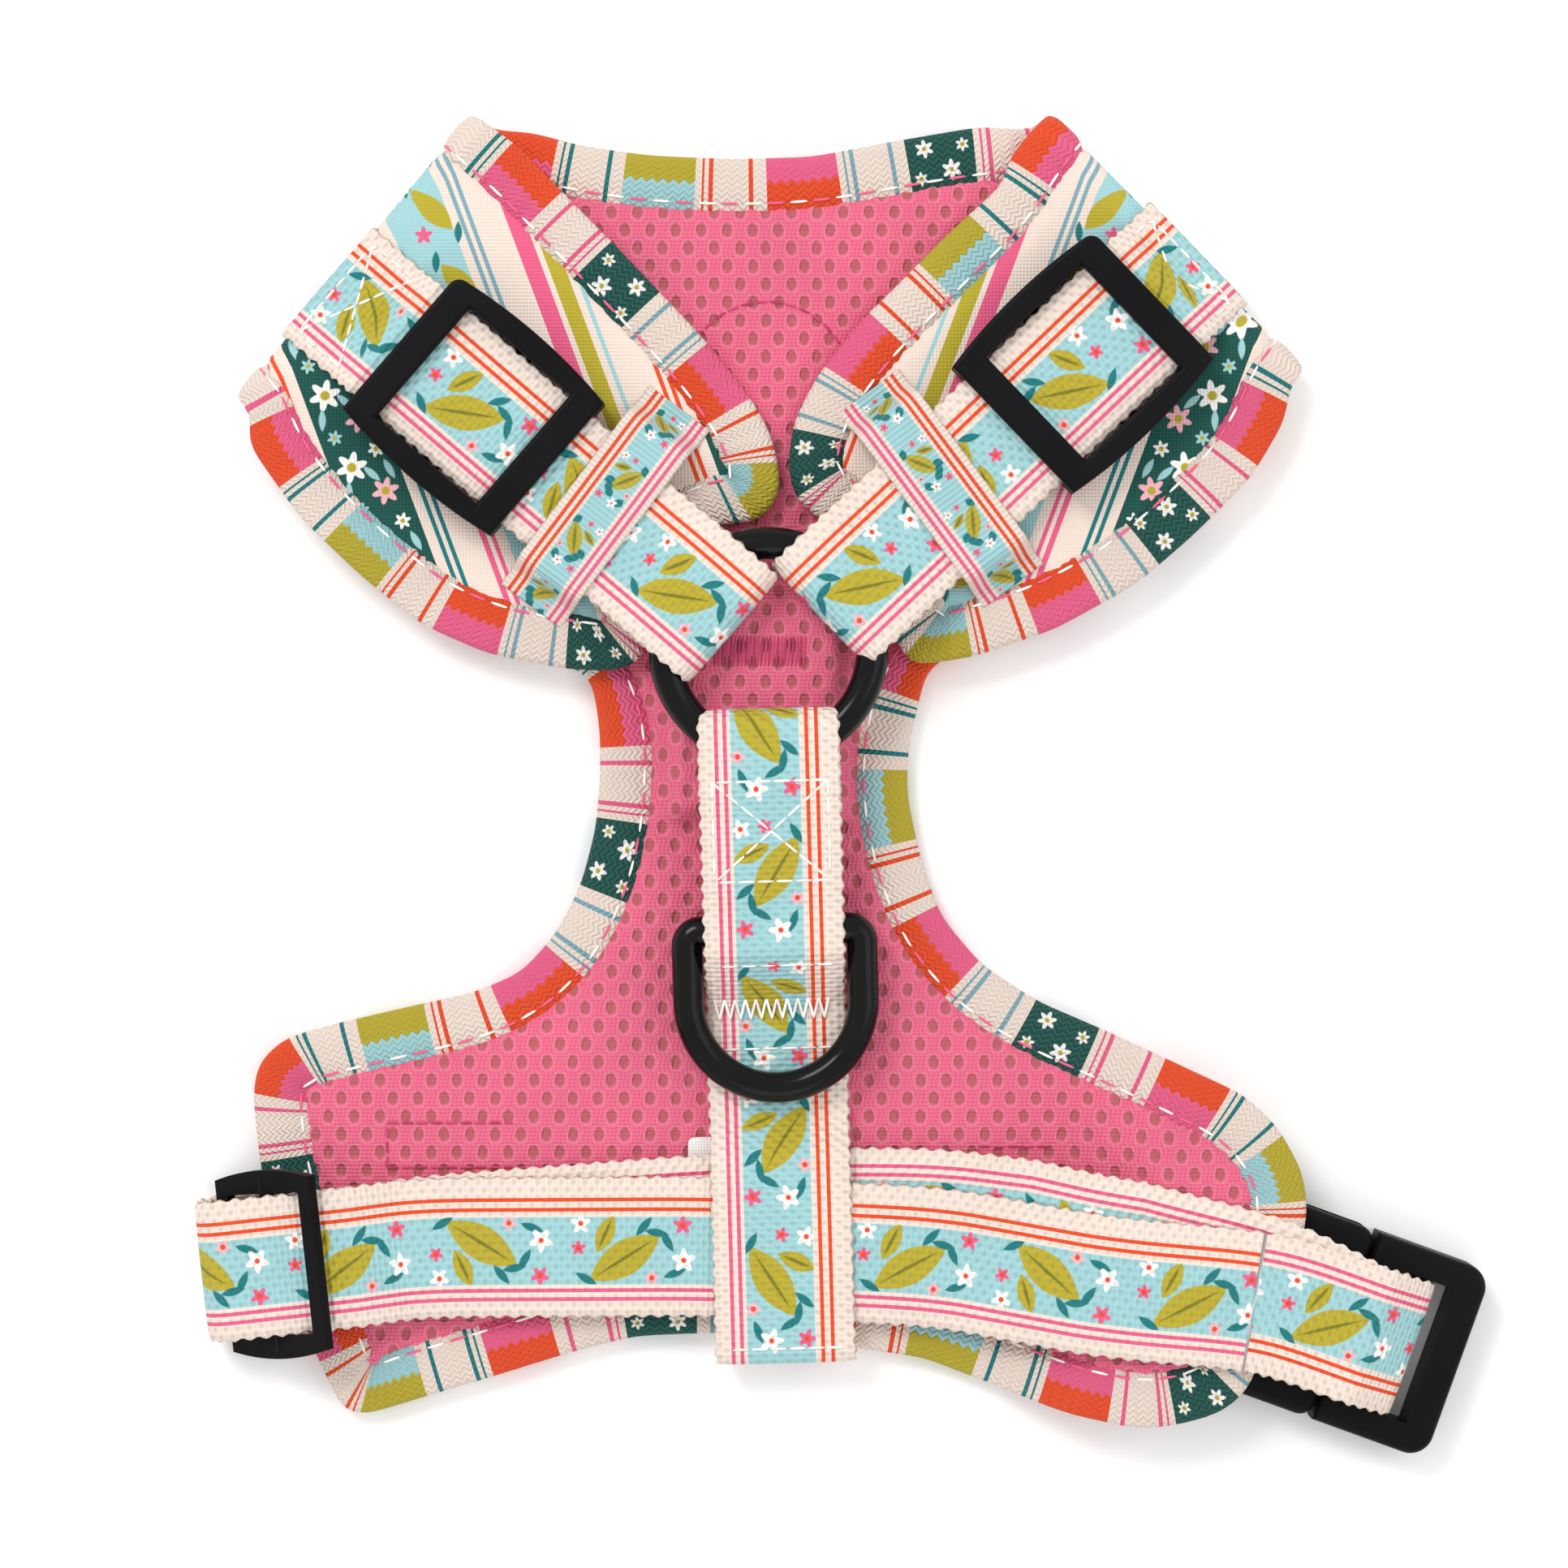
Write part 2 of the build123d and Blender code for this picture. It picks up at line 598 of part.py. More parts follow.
with BuildPart() as socket:
    add(slab(socket_start, seam - pin_gap, -half_width, half_width, 0, buckle_height))
    upright_edges = socket.edges().filter_by(Axis.Z)
    fillet(upright_edges, radius=2.2)
    fillet(socket.faces().sort_by(Axis.Z)[-1].edges(), radius=1.2)
    fillet(socket.faces().sort_by(Axis.Z)[0].edges(), radius=0.6)
    add(slab(slot_start, slot_start + slot_length, -web_width / 2 - pin_gap, web_width / 2 + pin_gap,
             -1, buckle_height + 1), mode=Mode.SUBTRACT)
    add(slab(socket_start - 1, slot_start, -web_width / 2 - pin_gap, web_width / 2 + pin_gap,
             bar_low + bar_thick, buckle_height + 1), mode=Mode.SUBTRACT)
    add(slab(socket_start - 1, slot_start, -web_width / 2 - pin_gap, web_width / 2 + pin_gap,
             -1, bar_low), mode=Mode.SUBTRACT)
    add(slab(cavity_start, seam + 1, -mouth_half, mouth_half, cavity_low, cavity_high), mode=Mode.SUBTRACT)
    add(slab(pad_start - 1, seam + 1, -half_width - 1, half_width + 1, cavity_low + 0.4, cavity_high - 0.4),
        mode=Mode.SUBTRACT)
finish(socket.part, "buckle_socket")

inner_slot_start = seam + 4.1
inner_bar_start = inner_slot_start + inner_slot
outer_slot_start = inner_bar_start + inner_bar
slot_half = web_width / 2 + pin_gap
with BuildPart() as plug:
    add(slab(seam + pin_gap, buckle_end, -half_width, half_width, 0, buckle_height))
    fillet(plug.edges().filter_by(Axis.Z).sort_by(Axis((0, 0, 0), tuple(axis_dir)))[-2:], radius=3.4)
    fillet(plug.faces().sort_by(Axis.Z)[-1].edges(), radius=1.2)
    fillet(plug.faces().sort_by(Axis.Z)[0].edges(), radius=0.6)
    add(slab(inner_slot_start, inner_bar_start, -slot_half, slot_half, -1, buckle_height + 1), mode=Mode.SUBTRACT)
    add(slab(outer_slot_start, outer_slot_start + outer_slot, -slot_half, slot_half, -1, buckle_height + 1),
        mode=Mode.SUBTRACT)
    add(slab(inner_bar_start, outer_slot_start, -slot_half, slot_half, bar_low + 2.9, buckle_height + 1),
        mode=Mode.SUBTRACT)
    add(slab(inner_bar_start, outer_slot_start, -slot_half, slot_half, -1, bar_low), mode=Mode.SUBTRACT)
    add(slab(cavity_start + 1.5, seam + 1, -2.2, 2.2, cavity_low + 0.5, cavity_high - 0.5))
finish(plug.part, "buckle_plug")

prong_root = seam - 0.4
for side, sign in (("upper", 1), ("lower", -1)):
    with BuildPart() as prong:
        with BuildSketch(axis_plane.offset(cavity_low + 0.7)):
            with BuildLine():
                Polyline(
                    (prong_root, sign * 9.4), (pad_start + pad_length, sign * 9.6),
                    (pad_start + pad_length - 1.5, sign * (half_width - 0.4)), (pad_start + 2.0, sign * 13.2),
                    (pad_start, sign * 9.8), (cavity_start + 0.8, sign * 8.4), (cavity_start + 0.8, sign * 6.8),
                    (pad_start + 1.0, sign * 7.2), (prong_root, sign * 6.6), close=True,
                )
            make_face()
        extrude(amount=cavity_high - cavity_low - 1.4)
        fillet(prong.edges().filter_by(Axis.Z), radius=0.5)
    finish(prong.part, f"{side}_buckle_prong")

# The girth strap's end, looped through the plug.
loop_x = outer_slot_start + web_z + pin_gap
back_x = inner_bar_start - web_z - pin_gap
low_z = bar_low - pin_gap - web_z
points = [
    (strap_end_s + soft_gap, buckle_over_z), (seam + 3.0, buckle_over_z), (loop_x, buckle_height),
    (loop_x, low_z), (back_x, low_z), (back_x, buckle_height), (seam + 1.0, buckle_cover_z),
    (strap_end_s + soft_gap, buckle_cover_z),
]
radii = [2.5, 2.5, 0.9, 0.9, 1.5, 2.0]
finish(strap_solid(side_plane, points, radii, web_width, web_thick), "girth_strap_plug_end")

# The socket's own webbing, sewn under the panel.
tab_low = bar_low - pin_gap - web_z
tab_high = bar_low + bar_thick + pin_gap + web_z
tab_x = slot_start + pin_gap + web_z
points = [
    (rise_start - 11.0, web_z), (socket_start - 6.5, web_z), (socket_start - 2.5, tab_low), (tab_x, tab_low),
    (tab_x, tab_high), (socket_start - 2.5, tab_high), (socket_start - 8.0, tab_low + web_thick + soft_gap),
]
radii = [2.0, 2.0, 0.8, 0.8, 2.0]
finish(strap_solid(side_plane, points, radii, web_width, web_thick), "socket_webbing_tab")

# --- Girth slider, tilted where the strap turns under at its left end ---
girth_run = Vector(*girth_line[1]) - Vector(*girth_line[0])
slider_y = girth_line[0][1] + (slider_x - girth_line[0][0]) * girth_run.Y / girth_run.X
slider_heading = degrees(atan2(girth_run.Y, girth_run.X))
turn = radians(slider_heading)
tilt = radians(girth_tilt)
tilted = Plane(
    origin=(slider_x, slider_y, girth_slider_z),
    x_dir=(cos(tilt) * cos(turn), cos(tilt) * sin(turn), sin(tilt)),
    z_dir=(-sin(tilt) * cos(turn), -sin(tilt) * sin(turn), cos(tilt)),
)
half_l = girth_slider_length / 2
half_w = slider_end_width / 2
girth_bar = 2.2
girth_frame = 1.6
with BuildPart() as slider:
    with BuildSketch(tilted.offset(-girth_frame / 2)):
        with BuildLine():
            ThreePointArc((-half_l, half_w), (0, slider_mid_width / 2), (half_l, half_w))
            Line((half_l, half_w), (half_l, -half_w))
            ThreePointArc((half_l, -half_w), (0, -slider_mid_width / 2), (-half_l, -half_w))
            Line((-half_l, -half_w), (-half_l, half_w))
        make_face()
        Rectangle(girth_slider_length - 2 * girth_bar, web_width + 2 * pin_gap, mode=Mode.SUBTRACT)
    extrude(amount=girth_frame)
    with BuildSketch(Plane(origin=tilted.origin, z_dir=tilted.y_dir)):
        Circle(girth_pin_radius)
    extrude(amount=slider_mid_width / 2 - 1.0, both=True)
finish(slider.part, "girth_slider")

pin_plane = upright((slider_x, slider_y), slider_heading)
points = [
    (11.5, girth_slider_z - girth_loop_r), (-girth_loop_r, girth_slider_z - girth_loop_r),
    (-girth_loop_r, girth_slider_z + girth_loop_r), (4.0, girth_slider_z + girth_loop_r),
]
loop_bend = 0.49 * 2 * girth_loop_r
finish(strap_solid(pin_plane, points, [loop_bend, loop_bend], web_width - 0.6, web_thick), "girth_strap_sewn_end")

# --- Care label, tucked under the back strap ---
label_size = (14.0, 9.0)
label_thick = 0.2
with BuildPart() as label:
    with BuildSketch(Plane.XY.offset(panel_top)):
        with Locations((-15.3, -55.5)):
            Rectangle(*label_size)
    extrude(amount=label_thick)
finish(label.part, "care_label")
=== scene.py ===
"""No-pull dog harness lying flat: cloth, webbing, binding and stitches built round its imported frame."""

import bpy
import numpy as np
from bpy.props import FloatProperty, FloatVectorProperty, PointerProperty
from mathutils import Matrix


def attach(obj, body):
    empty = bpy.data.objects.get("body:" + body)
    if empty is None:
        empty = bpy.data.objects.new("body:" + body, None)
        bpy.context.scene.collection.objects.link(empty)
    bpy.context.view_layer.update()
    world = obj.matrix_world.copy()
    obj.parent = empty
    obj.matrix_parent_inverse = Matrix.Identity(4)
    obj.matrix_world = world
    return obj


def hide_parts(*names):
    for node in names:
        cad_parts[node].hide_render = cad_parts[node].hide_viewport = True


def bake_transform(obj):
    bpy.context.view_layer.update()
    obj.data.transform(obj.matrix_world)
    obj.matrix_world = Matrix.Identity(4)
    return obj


bl_info = {
    "name": "No-pull dog harness",
    "version": (1, 0, 0),
    "blender": (4, 5, 0),
    "location": "3D View > Sidebar > Harness",
    "description": "Builds a printed, mesh-lined dog harness round its packed frame",
    "category": "Add Mesh",
}

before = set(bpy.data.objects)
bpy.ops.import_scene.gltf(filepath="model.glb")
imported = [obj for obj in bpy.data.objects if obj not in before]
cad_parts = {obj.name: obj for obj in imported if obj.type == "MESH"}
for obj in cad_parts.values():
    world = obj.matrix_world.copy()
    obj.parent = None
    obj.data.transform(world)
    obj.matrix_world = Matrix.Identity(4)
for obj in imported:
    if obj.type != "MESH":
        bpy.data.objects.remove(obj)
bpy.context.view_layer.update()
root = "harness"
mm = 0.001
hole_pitch, hole_row, hole_half = 3.7, 2.6, 0.7
weft_pitch = 2.3
seam_thread = 0.2


# --- Rows of points ---
def unit(rows):
    """Each row divided by its own length."""
    return rows / np.maximum(np.linalg.norm(rows, axis=-1, keepdims=True), 1e-12)


def evenly(points, step, closed=False):
    """Points at equal steps of length along a chain of straight runs."""
    points = np.asarray(points, float)
    if closed:
        points = np.vstack([points, points[:1]])
    run = np.r_[0, np.cumsum(np.linalg.norm(np.diff(points, axis=0), axis=1))]
    count = max(int(round(run[-1] / step)), 4)
    marks = np.linspace(0, run[-1], count + 1)
    rows = np.column_stack([np.interp(marks, run, column) for column in points.T])
    return rows[:-1] if closed else rows


def softened(rows, spread, closed=False):
    """Each point replaced by a bell-weighted mean of its neighbours; an open row keeps its ends."""
    reach = int(3 * spread) + 1
    bell = np.exp(-0.5 * (np.arange(-reach, reach + 1) / spread) ** 2)
    bell /= bell.sum()
    ends = dict(mode="wrap") if closed else dict(mode="reflect", reflect_type="odd")
    padded = np.pad(rows, ((reach, reach), (0, 0)), **ends)
    return np.column_stack([np.convolve(column, bell, "valid") for column in padded.T])


def rounded(points, radii, step=0.45):
    """Straight runs joined by arcs: at each corner an arc of its radius touches both runs."""
    points = [np.asarray(p, float) for p in points]
    chain = [points[0][None]]
    for before, corner, after, radius in zip(points, points[1:], points[2:], radii):
        back, ahead = unit(before - corner), unit(after - corner)
        half = np.arccos(np.clip(back @ ahead, -1, 1)) / 2
        if half > 1.55:
            continue
        center = corner + unit(back + ahead) * radius / np.sin(half)
        cut = radius / np.tan(half)
        first, last = corner + back * cut - center, corner + ahead * cut - center
        turn = np.pi - 2 * half
        t = np.linspace(0, 1, max(int(turn * radius / step), 5))[:, None]
        if turn < 3.1:
            arc = (np.sin((1 - t) * turn) * first + np.sin(t * turn) * last) / np.sin(turn)
        else:
            arc = np.cos(t * np.pi) * first - np.sin(t * np.pi) * unit(back) * radius
        chain.append(center + arc)
    chain.append(points[-1][None])
    return evenly(np.vstack(chain), step)


def eased(value, low, high):
    """0 below low, 1 above high, and an S-curve 3t^2 - 2t^3 between."""
    t = np.clip((value - low) / (high - low), 0, 1)
    return t * t * (3 - 2 * t)


# --- Meshes ---
def signed_volume(verts, faces):
    """Sum over the faces of a x b . c / 6 for their two triangles: positive when they face outwards."""
    a, b, c, d = (verts[faces[:, k]] for k in range(4))
    return (np.einsum("ij,ij->i", np.cross(a, b), c) + np.einsum("ij,ij->i", np.cross(a, c), d)).sum() / 6


def piece(name, verts, faces, uv, material, caps=(), smooth=True, outward=True):
    """An object at the origin from whole arrays: corners in mm, four-sided faces and a UV per face corner."""
    if outward and signed_volume(verts, faces) < 0:
        faces, uv = faces[:, ::-1], uv[:, ::-1]
        caps = [cap[::-1] for cap in caps]
    mesh = bpy.data.meshes.new(name)
    corners = [faces.reshape(-1)] + [np.asarray(cap) for cap in caps]
    sizes = np.r_[np.full(len(faces), 4), [len(cap) for cap in caps]].astype(int)
    loops = np.concatenate(corners).astype(np.int32)
    mesh.vertices.add(len(verts))
    mesh.vertices.foreach_set("co", (verts * mm).astype(np.float32).reshape(-1))
    mesh.loops.add(len(loops))
    mesh.loops.foreach_set("vertex_index", loops)
    mesh.polygons.add(len(sizes))
    mesh.polygons.foreach_set("loop_start", np.r_[0, np.cumsum(sizes)[:-1]].astype(np.int32))
    layer = mesh.uv_layers.new(name="cloth")
    flat = np.zeros((len(loops), 2), np.float32)
    flat[: faces.size] = uv.reshape(-1, 2)
    layer.data.foreach_set("uv", flat.reshape(-1))
    mesh.update(calc_edges=True)
    mesh.validate()
    mesh.shade_smooth() if smooth else mesh.shade_flat()
    thing = bpy.data.objects.new(name, mesh)
    bpy.context.scene.collection.objects.link(thing)
    mesh.materials.append(material)
    return thing


def lattice(name, grid, across, along, material, closed=False):
    """Skin of a closed profile carried along a path: quads between neighbours i, i+1 and j, j+1 of the grid.

    across is the UV of each column and along of each row, with one more row where the path is closed.
    """
    rows, columns = grid.shape[:2]
    i, j = np.meshgrid(np.arange(rows if closed else rows - 1), np.arange(columns), indexing="ij")
    i, j = i.reshape(-1), j.reshape(-1)
    ring = [(i, j), (i + 1, j), (i + 1, j + 1), (i, j + 1)]
    faces = np.column_stack([(a % rows) * columns + b % columns for a, b in ring])
    across = np.broadcast_to(across, (rows, columns))
    uv = np.stack([np.column_stack([across[a % rows, b % columns], along[a]]) for a, b in ring], axis=1)
    caps = () if closed else (np.arange(columns), (rows - 1) * columns + np.arange(columns)[::-1])
    return piece(name, grid.reshape(-1, 3), faces, uv, material, caps=caps)


def woven_profile(width, thick, count=9):
    """Closed flat section: x = w/2 cos a, z = t/2 sign(sin a) |sin a|^0.35."""
    a = np.linspace(0, 2 * np.pi, 2 * count, endpoint=False)
    x = np.sign(np.cos(a)) * np.abs(np.cos(a)) ** 0.75
    z = np.sign(np.sin(a)) * np.abs(np.sin(a)) ** 0.35
    return np.column_stack([x * width / 2, z * thick / 2])


def webbing(name, path, side, width, thick, material, flip=False, scallop=0.22, start=0.0):
    """Woven band along a path: point = path + side x + normal z, its edges bulging at every weft turn.

    flip turns the print over, for the whole band or row by row.
    """
    path = np.asarray(path, float)
    run = np.r_[0, np.cumsum(np.linalg.norm(np.diff(path, axis=0), axis=1))] + start
    ahead = unit(np.gradient(path, axis=0))
    side = unit(np.broadcast_to(side, path.shape))
    normal = unit(np.cross(ahead, side))
    profile = woven_profile(width, thick)
    edge = np.abs(profile[:, 0] * 2 / width) ** 24
    bulge = 1 + edge * scallop * 2 / width * np.sin(2 * np.pi * run / weft_pitch)[:, None]
    reach = (profile[:, 0] * bulge)[..., None]
    grid = path[:, None] + side[:, None] * reach + normal[:, None] * profile[:, 1, None]
    across = profile[:, 0] / width + 0.5
    turned = np.broadcast_to(flip, run.shape)[:, None]
    return lattice(name, grid, np.where(turned, 1 - across, across), run, material)


def stitches(name, starts, ends, radius, material):
    """Short threads: each an ellipsoid, start..end long and radius thick, on an 8 by 6 grid."""
    starts, ends = np.asarray(starts, float), np.asarray(ends, float)
    middle, half = (starts + ends) / 2, (ends - starts) / 2
    along = unit(half)
    helper = np.where(np.abs(along[:, 2:]) > 0.8, [[1.0, 0, 0]], [[0.0, 0, 1]])
    side = unit(np.cross(along, helper))
    lift = np.cross(along, side)
    t = np.linspace(0.12, np.pi - 0.12, 7)
    a = np.linspace(0, 2 * np.pi, 8, endpoint=False)
    reach = (np.linalg.norm(half, axis=1) + radius * 0.4)[:, None, None, None]
    grid = middle[:, None, None] - along[:, None, None] * reach * np.cos(t)[None, :, None, None]
    turn = side[:, None, None] * np.cos(a)[:, None] + lift[:, None, None] * np.sin(a)[:, None]
    grid = grid + turn * radius * np.sin(t)[None, :, None, None] ** 0.6
    i, j = np.meshgrid(np.arange(6), np.arange(8), indexing="ij")
    after = (j + 1) % 8
    quad = np.stack([i * 8 + j, (i + 1) * 8 + j, (i + 1) * 8 + after, i * 8 + after], axis=-1).reshape(-1, 4)
    base = np.arange(len(starts))[:, None, None] * 56
    faces = (quad[None] + base).reshape(-1, 4)
    cap = np.arange(8)
    caps = [c + k * 56 for k in range(len(starts)) for c in (cap, 48 + cap[::-1])]
    uv = np.zeros((len(faces), 4, 2))
    uv[:, :, 1] = np.repeat(np.arange(len(starts)), len(quad))[:, None]
    return piece(name, grid.reshape(-1, 3), faces, uv, material, caps=caps)


def runs_of(points, length, gap):
    """Starts and ends of stitches of a length and gap along a row of points."""
    points = np.asarray(points, float)
    run = np.r_[0, np.cumsum(np.linalg.norm(np.diff(points, axis=0), axis=1))]
    marks = np.arange(0, run[-1] - length * 0.6, length + gap)
    at = lambda s: np.column_stack([np.interp(s, run, column) for column in points.T])
    return at(marks), at(np.minimum(marks + length, run[-1]))


def settle(thing, body, slot, *nodes):
    """The piece rides on its body and stands for its CAD nodes; slot is not used."""
    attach(thing, body)
    if nodes:
        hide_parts(*nodes)
    return thing


# --- Colours and node sums ---
def paint(code):
    """A hex colour as the linear values a shader takes."""
    part = np.array([int(code[k:k + 2], 16) for k in (1, 3, 5)]) / 255
    return (*np.where(part <= 0.04045, part / 12.92, ((part + 0.055) / 1.055) ** 2.4), 1.0)


cream, sky, coral, rose = paint("#EFDDD0"), paint("#A0CFD2"), paint("#E94C20"), paint("#EA6089")
mustard, teal, forest = paint("#B9A92E"), paint("#14787A"), paint("#0F5048")
blush, white, slate = paint("#F7B7BF"), paint("#FBF8F4"), paint("#7FA9B4")


class Cloth:
    """A material whose colour, roughness and relief are sums of nodes on its Principled shader."""

    def __init__(self, name, roughness=0.85, sheen=0.0, specular=0.3):
        self.material = bpy.data.materials.new(name)
        self.material.use_nodes = True
        self.tree = self.material.node_tree
        self.shader = self.tree.nodes["Principled BSDF"]
        self.shader.inputs["Roughness"].default_value = roughness
        self.shader.inputs["Sheen Weight"].default_value = sheen
        self.shader.inputs["Specular IOR Level"].default_value = specular

    def put(self, socket, value):
        if isinstance(value, bpy.types.NodeSocket):
            self.tree.links.new(value, socket)
        else:
            socket.default_value = value

    def sum(self, operation, *values):
        node = self.tree.nodes.new("ShaderNodeMath")
        node.operation = operation
        for socket, value in zip(node.inputs, values):
            self.put(socket, value)
        return node.outputs[0]

    def add(self, a, b): return self.sum("ADD", a, b)
    def sub(self, a, b): return self.sum("SUBTRACT", a, b)
    def mul(self, a, b): return self.sum("MULTIPLY", a, b)

    def wave(self, value, period):
        """sin(2 pi value / period)"""
        return self.sum("SINE", self.mul(value, 2 * np.pi / period))

    def within(self, value, period):
        """Place within a period, from minus half to plus half of it."""
        return self.sub(self.sum("FLOORED_MODULO", value, period), period / 2)

    def step(self, value, edge, soft):
        """1 where value is under edge, 0 over it, over a soft border."""
        node = self.tree.nodes.new("ShaderNodeMapRange")
        self.put(node.inputs["Value"], value)
        node.inputs["From Min"].default_value = edge + soft
        node.inputs["From Max"].default_value = edge - soft
        return node.outputs["Result"]

    def place(self, source="UV"):
        """The place on the cloth, in mm, as two sockets."""
        if source == "UV":
            node = self.tree.nodes.new("ShaderNodeUVMap")
            node.uv_map = "cloth"
            vector = node.outputs[0]
            split = self.tree.nodes.new("ShaderNodeSeparateXYZ")
            self.tree.links.new(vector, split.inputs[0])
            return split.outputs[0], split.outputs[1]
        node = self.tree.nodes.new("ShaderNodeTexCoord")
        split = self.tree.nodes.new("ShaderNodeSeparateXYZ")
        self.tree.links.new(node.outputs["Object"], split.inputs[0])
        return self.mul(split.outputs[0], 1000), self.mul(split.outputs[1], 1000)

    def noise(self, scale, detail=2.0):
        """Soft noise on Object coordinates; scale is in waves per metre."""
        place = self.tree.nodes.new("ShaderNodeTexCoord")
        node = self.tree.nodes.new("ShaderNodeTexNoise")
        node.inputs["Scale"].default_value = scale
        node.inputs["Detail"].default_value = detail
        self.tree.links.new(place.outputs["Object"], node.inputs["Vector"])
        return node.outputs[0]

    def mix(self, factor, a, b, blend="MIX"):
        node = self.tree.nodes.new("ShaderNodeMix")
        node.data_type = "RGBA"
        node.blend_type = blend
        self.put(node.inputs[0], factor)
        self.put(node.inputs[6], a)
        self.put(node.inputs[7], b)
        return node.outputs[2]

    def bands(self, value, stops):
        """Flat colour bands: stops are (start, colour) with starts from 0 to 1."""
        node = self.tree.nodes.new("ShaderNodeValToRGB")
        ramp = node.color_ramp
        ramp.interpolation = "CONSTANT"
        ramp.elements[0].color = stops[0][1]
        ramp.elements[1].position = stops[1][0]
        ramp.elements[1].color = stops[1][1]
        for start, colour in stops[2:]:
            ramp.elements.new(min(start, 0.9999)).color = colour
        self.put(node.inputs[0], value)
        return node.outputs[0]

    def turned(self, x, y, angle):
        """Coordinates turned by an angle in degrees."""
        c, s = float(np.cos(np.radians(angle))), float(np.sin(np.radians(angle)))
        return self.add(self.mul(x, c), self.mul(y, s)), self.sub(self.mul(y, c), self.mul(x, s))

    def leaf(self, x, y, center, angle, length, width):
        """A pointed leaf: |y| under w/2 (1 - (2x/l)^2)."""
        x, y = self.turned(self.sub(x, center[0]), self.sub(y, center[1]), angle)
        arch = self.sub(1.0, self.sum("POWER", self.sum("ABSOLUTE", self.mul(x, 2 / length)), 2.0))
        return self.step(self.sub(self.sum("ABSOLUTE", y), self.mul(arch, width / 2)), 0.0, 0.09)

    def dot(self, x, y, center, radius):
        """A disc: distance from its centre under its radius."""
        x, y = self.sub(x, center[0]), self.sub(y, center[1])
        return self.step(self.sum("SQRT", self.add(self.mul(x, x), self.mul(y, y))), radius, 0.09)

    def bloom(self, x, y, center, radius, petals=5):
        """A flower: distance under r (0.76 + 0.24 cos(n angle))."""
        x, y = self.sub(x, center[0]), self.sub(y, center[1])
        angle = self.sum("ARCTAN2", y, x)
        reach = self.add(0.76 * radius, self.mul(self.sum("COSINE", self.mul(angle, petals)), 0.24 * radius))
        distance = self.sum("SQRT", self.add(self.mul(x, x), self.mul(y, y)))
        return self.step(self.sub(distance, reach), 0.0, 0.09)

    def flower(self, colour, x, y, center, radius, petal, heart, eye, petals=5):
        """The colour with a flower upon it: petals of one tone round an eye of another."""
        colour = self.mix(self.bloom(x, y, center, radius, petals), colour, petal)
        return self.mix(self.dot(x, y, center, eye), colour, heart)

    def finish(self, colour, height=None, strength=0.5, depth=0.0002, rough=None):
        self.put(self.shader.inputs["Base Color"], colour)
        if rough is not None:
            self.put(self.shader.inputs["Roughness"], rough)
        if height is not None:
            bump = self.tree.nodes.new("ShaderNodeBump")
            bump.inputs["Strength"].default_value = strength
            bump.inputs["Distance"].default_value = depth
            self.put(bump.inputs["Height"], height)
            self.tree.links.new(bump.outputs[0], self.shader.inputs["Normal"])
        return self.material


def worn(cloth, colour, amount=0.06):
    """The colour with slight uneven fading."""
    fade = cloth.sub(1.0 + amount / 2, cloth.mul(cloth.noise(90.0), amount * 2))
    grey = cloth.tree.nodes.new("ShaderNodeCombineColor")
    for k in range(3):
        cloth.put(grey.inputs[k], fade)
    return cloth.mix(1.0, colour, grey.outputs[0], "MULTIPLY")


def sprigs(cloth, x, y, colour, cell, small=1.0):
    """Generic leaves and small flowers in a cell of the band's length, turned over in every other cell."""
    number = cloth.sum("FLOOR", cloth.mul(y, 1 / cell))
    odd = cloth.sub(1.0, cloth.mul(cloth.sum("FLOORED_MODULO", number, 2.0), 2.0))
    local = cloth.within(y, cell)
    x = cloth.mul(x, odd)
    k = small
    vein = paint("#7E7A1E")
    for x0, y0, angle, length, width in [(-1.2, -1.6, 58, 13.0, 5.4), (2.6, -4.6, 24, 6.4, 2.8)]:
        center = (x0 * k, y0 * k)
        colour = cloth.mix(cloth.leaf(x, local, center, angle, length * k, width * k), colour, mustard)
        colour = cloth.mix(cloth.leaf(x, local, center, angle, length * k * 0.8, 0.5), colour, vein)
    for x0, y0, angle in [(2.7, 3.4, 100), (3.7, 1.4, 40), (1.4, 5.0, 150), (-3.6, 6.2, 70),
                          (-4.4, -7.6, 120)]:
        colour = cloth.mix(cloth.leaf(x, local, (x0 * k, y0 * k), angle, 3.8 * k, 1.15), colour, teal)
    for x0, y0, radius, petal in [(-1.6, 7.6, 1.9, white), (3.9, 7.4, 1.5, rose), (4.2, -8.4, 1.6, white),
                                  (-4.3, 2.6, 1.2, blush), (0.4, -8.8, 1.2, rose)]:
        colour = cloth.flower(colour, x, local, (x0 * k, y0 * k), radius * k, petal, coral, 0.42 * k)
    return colour


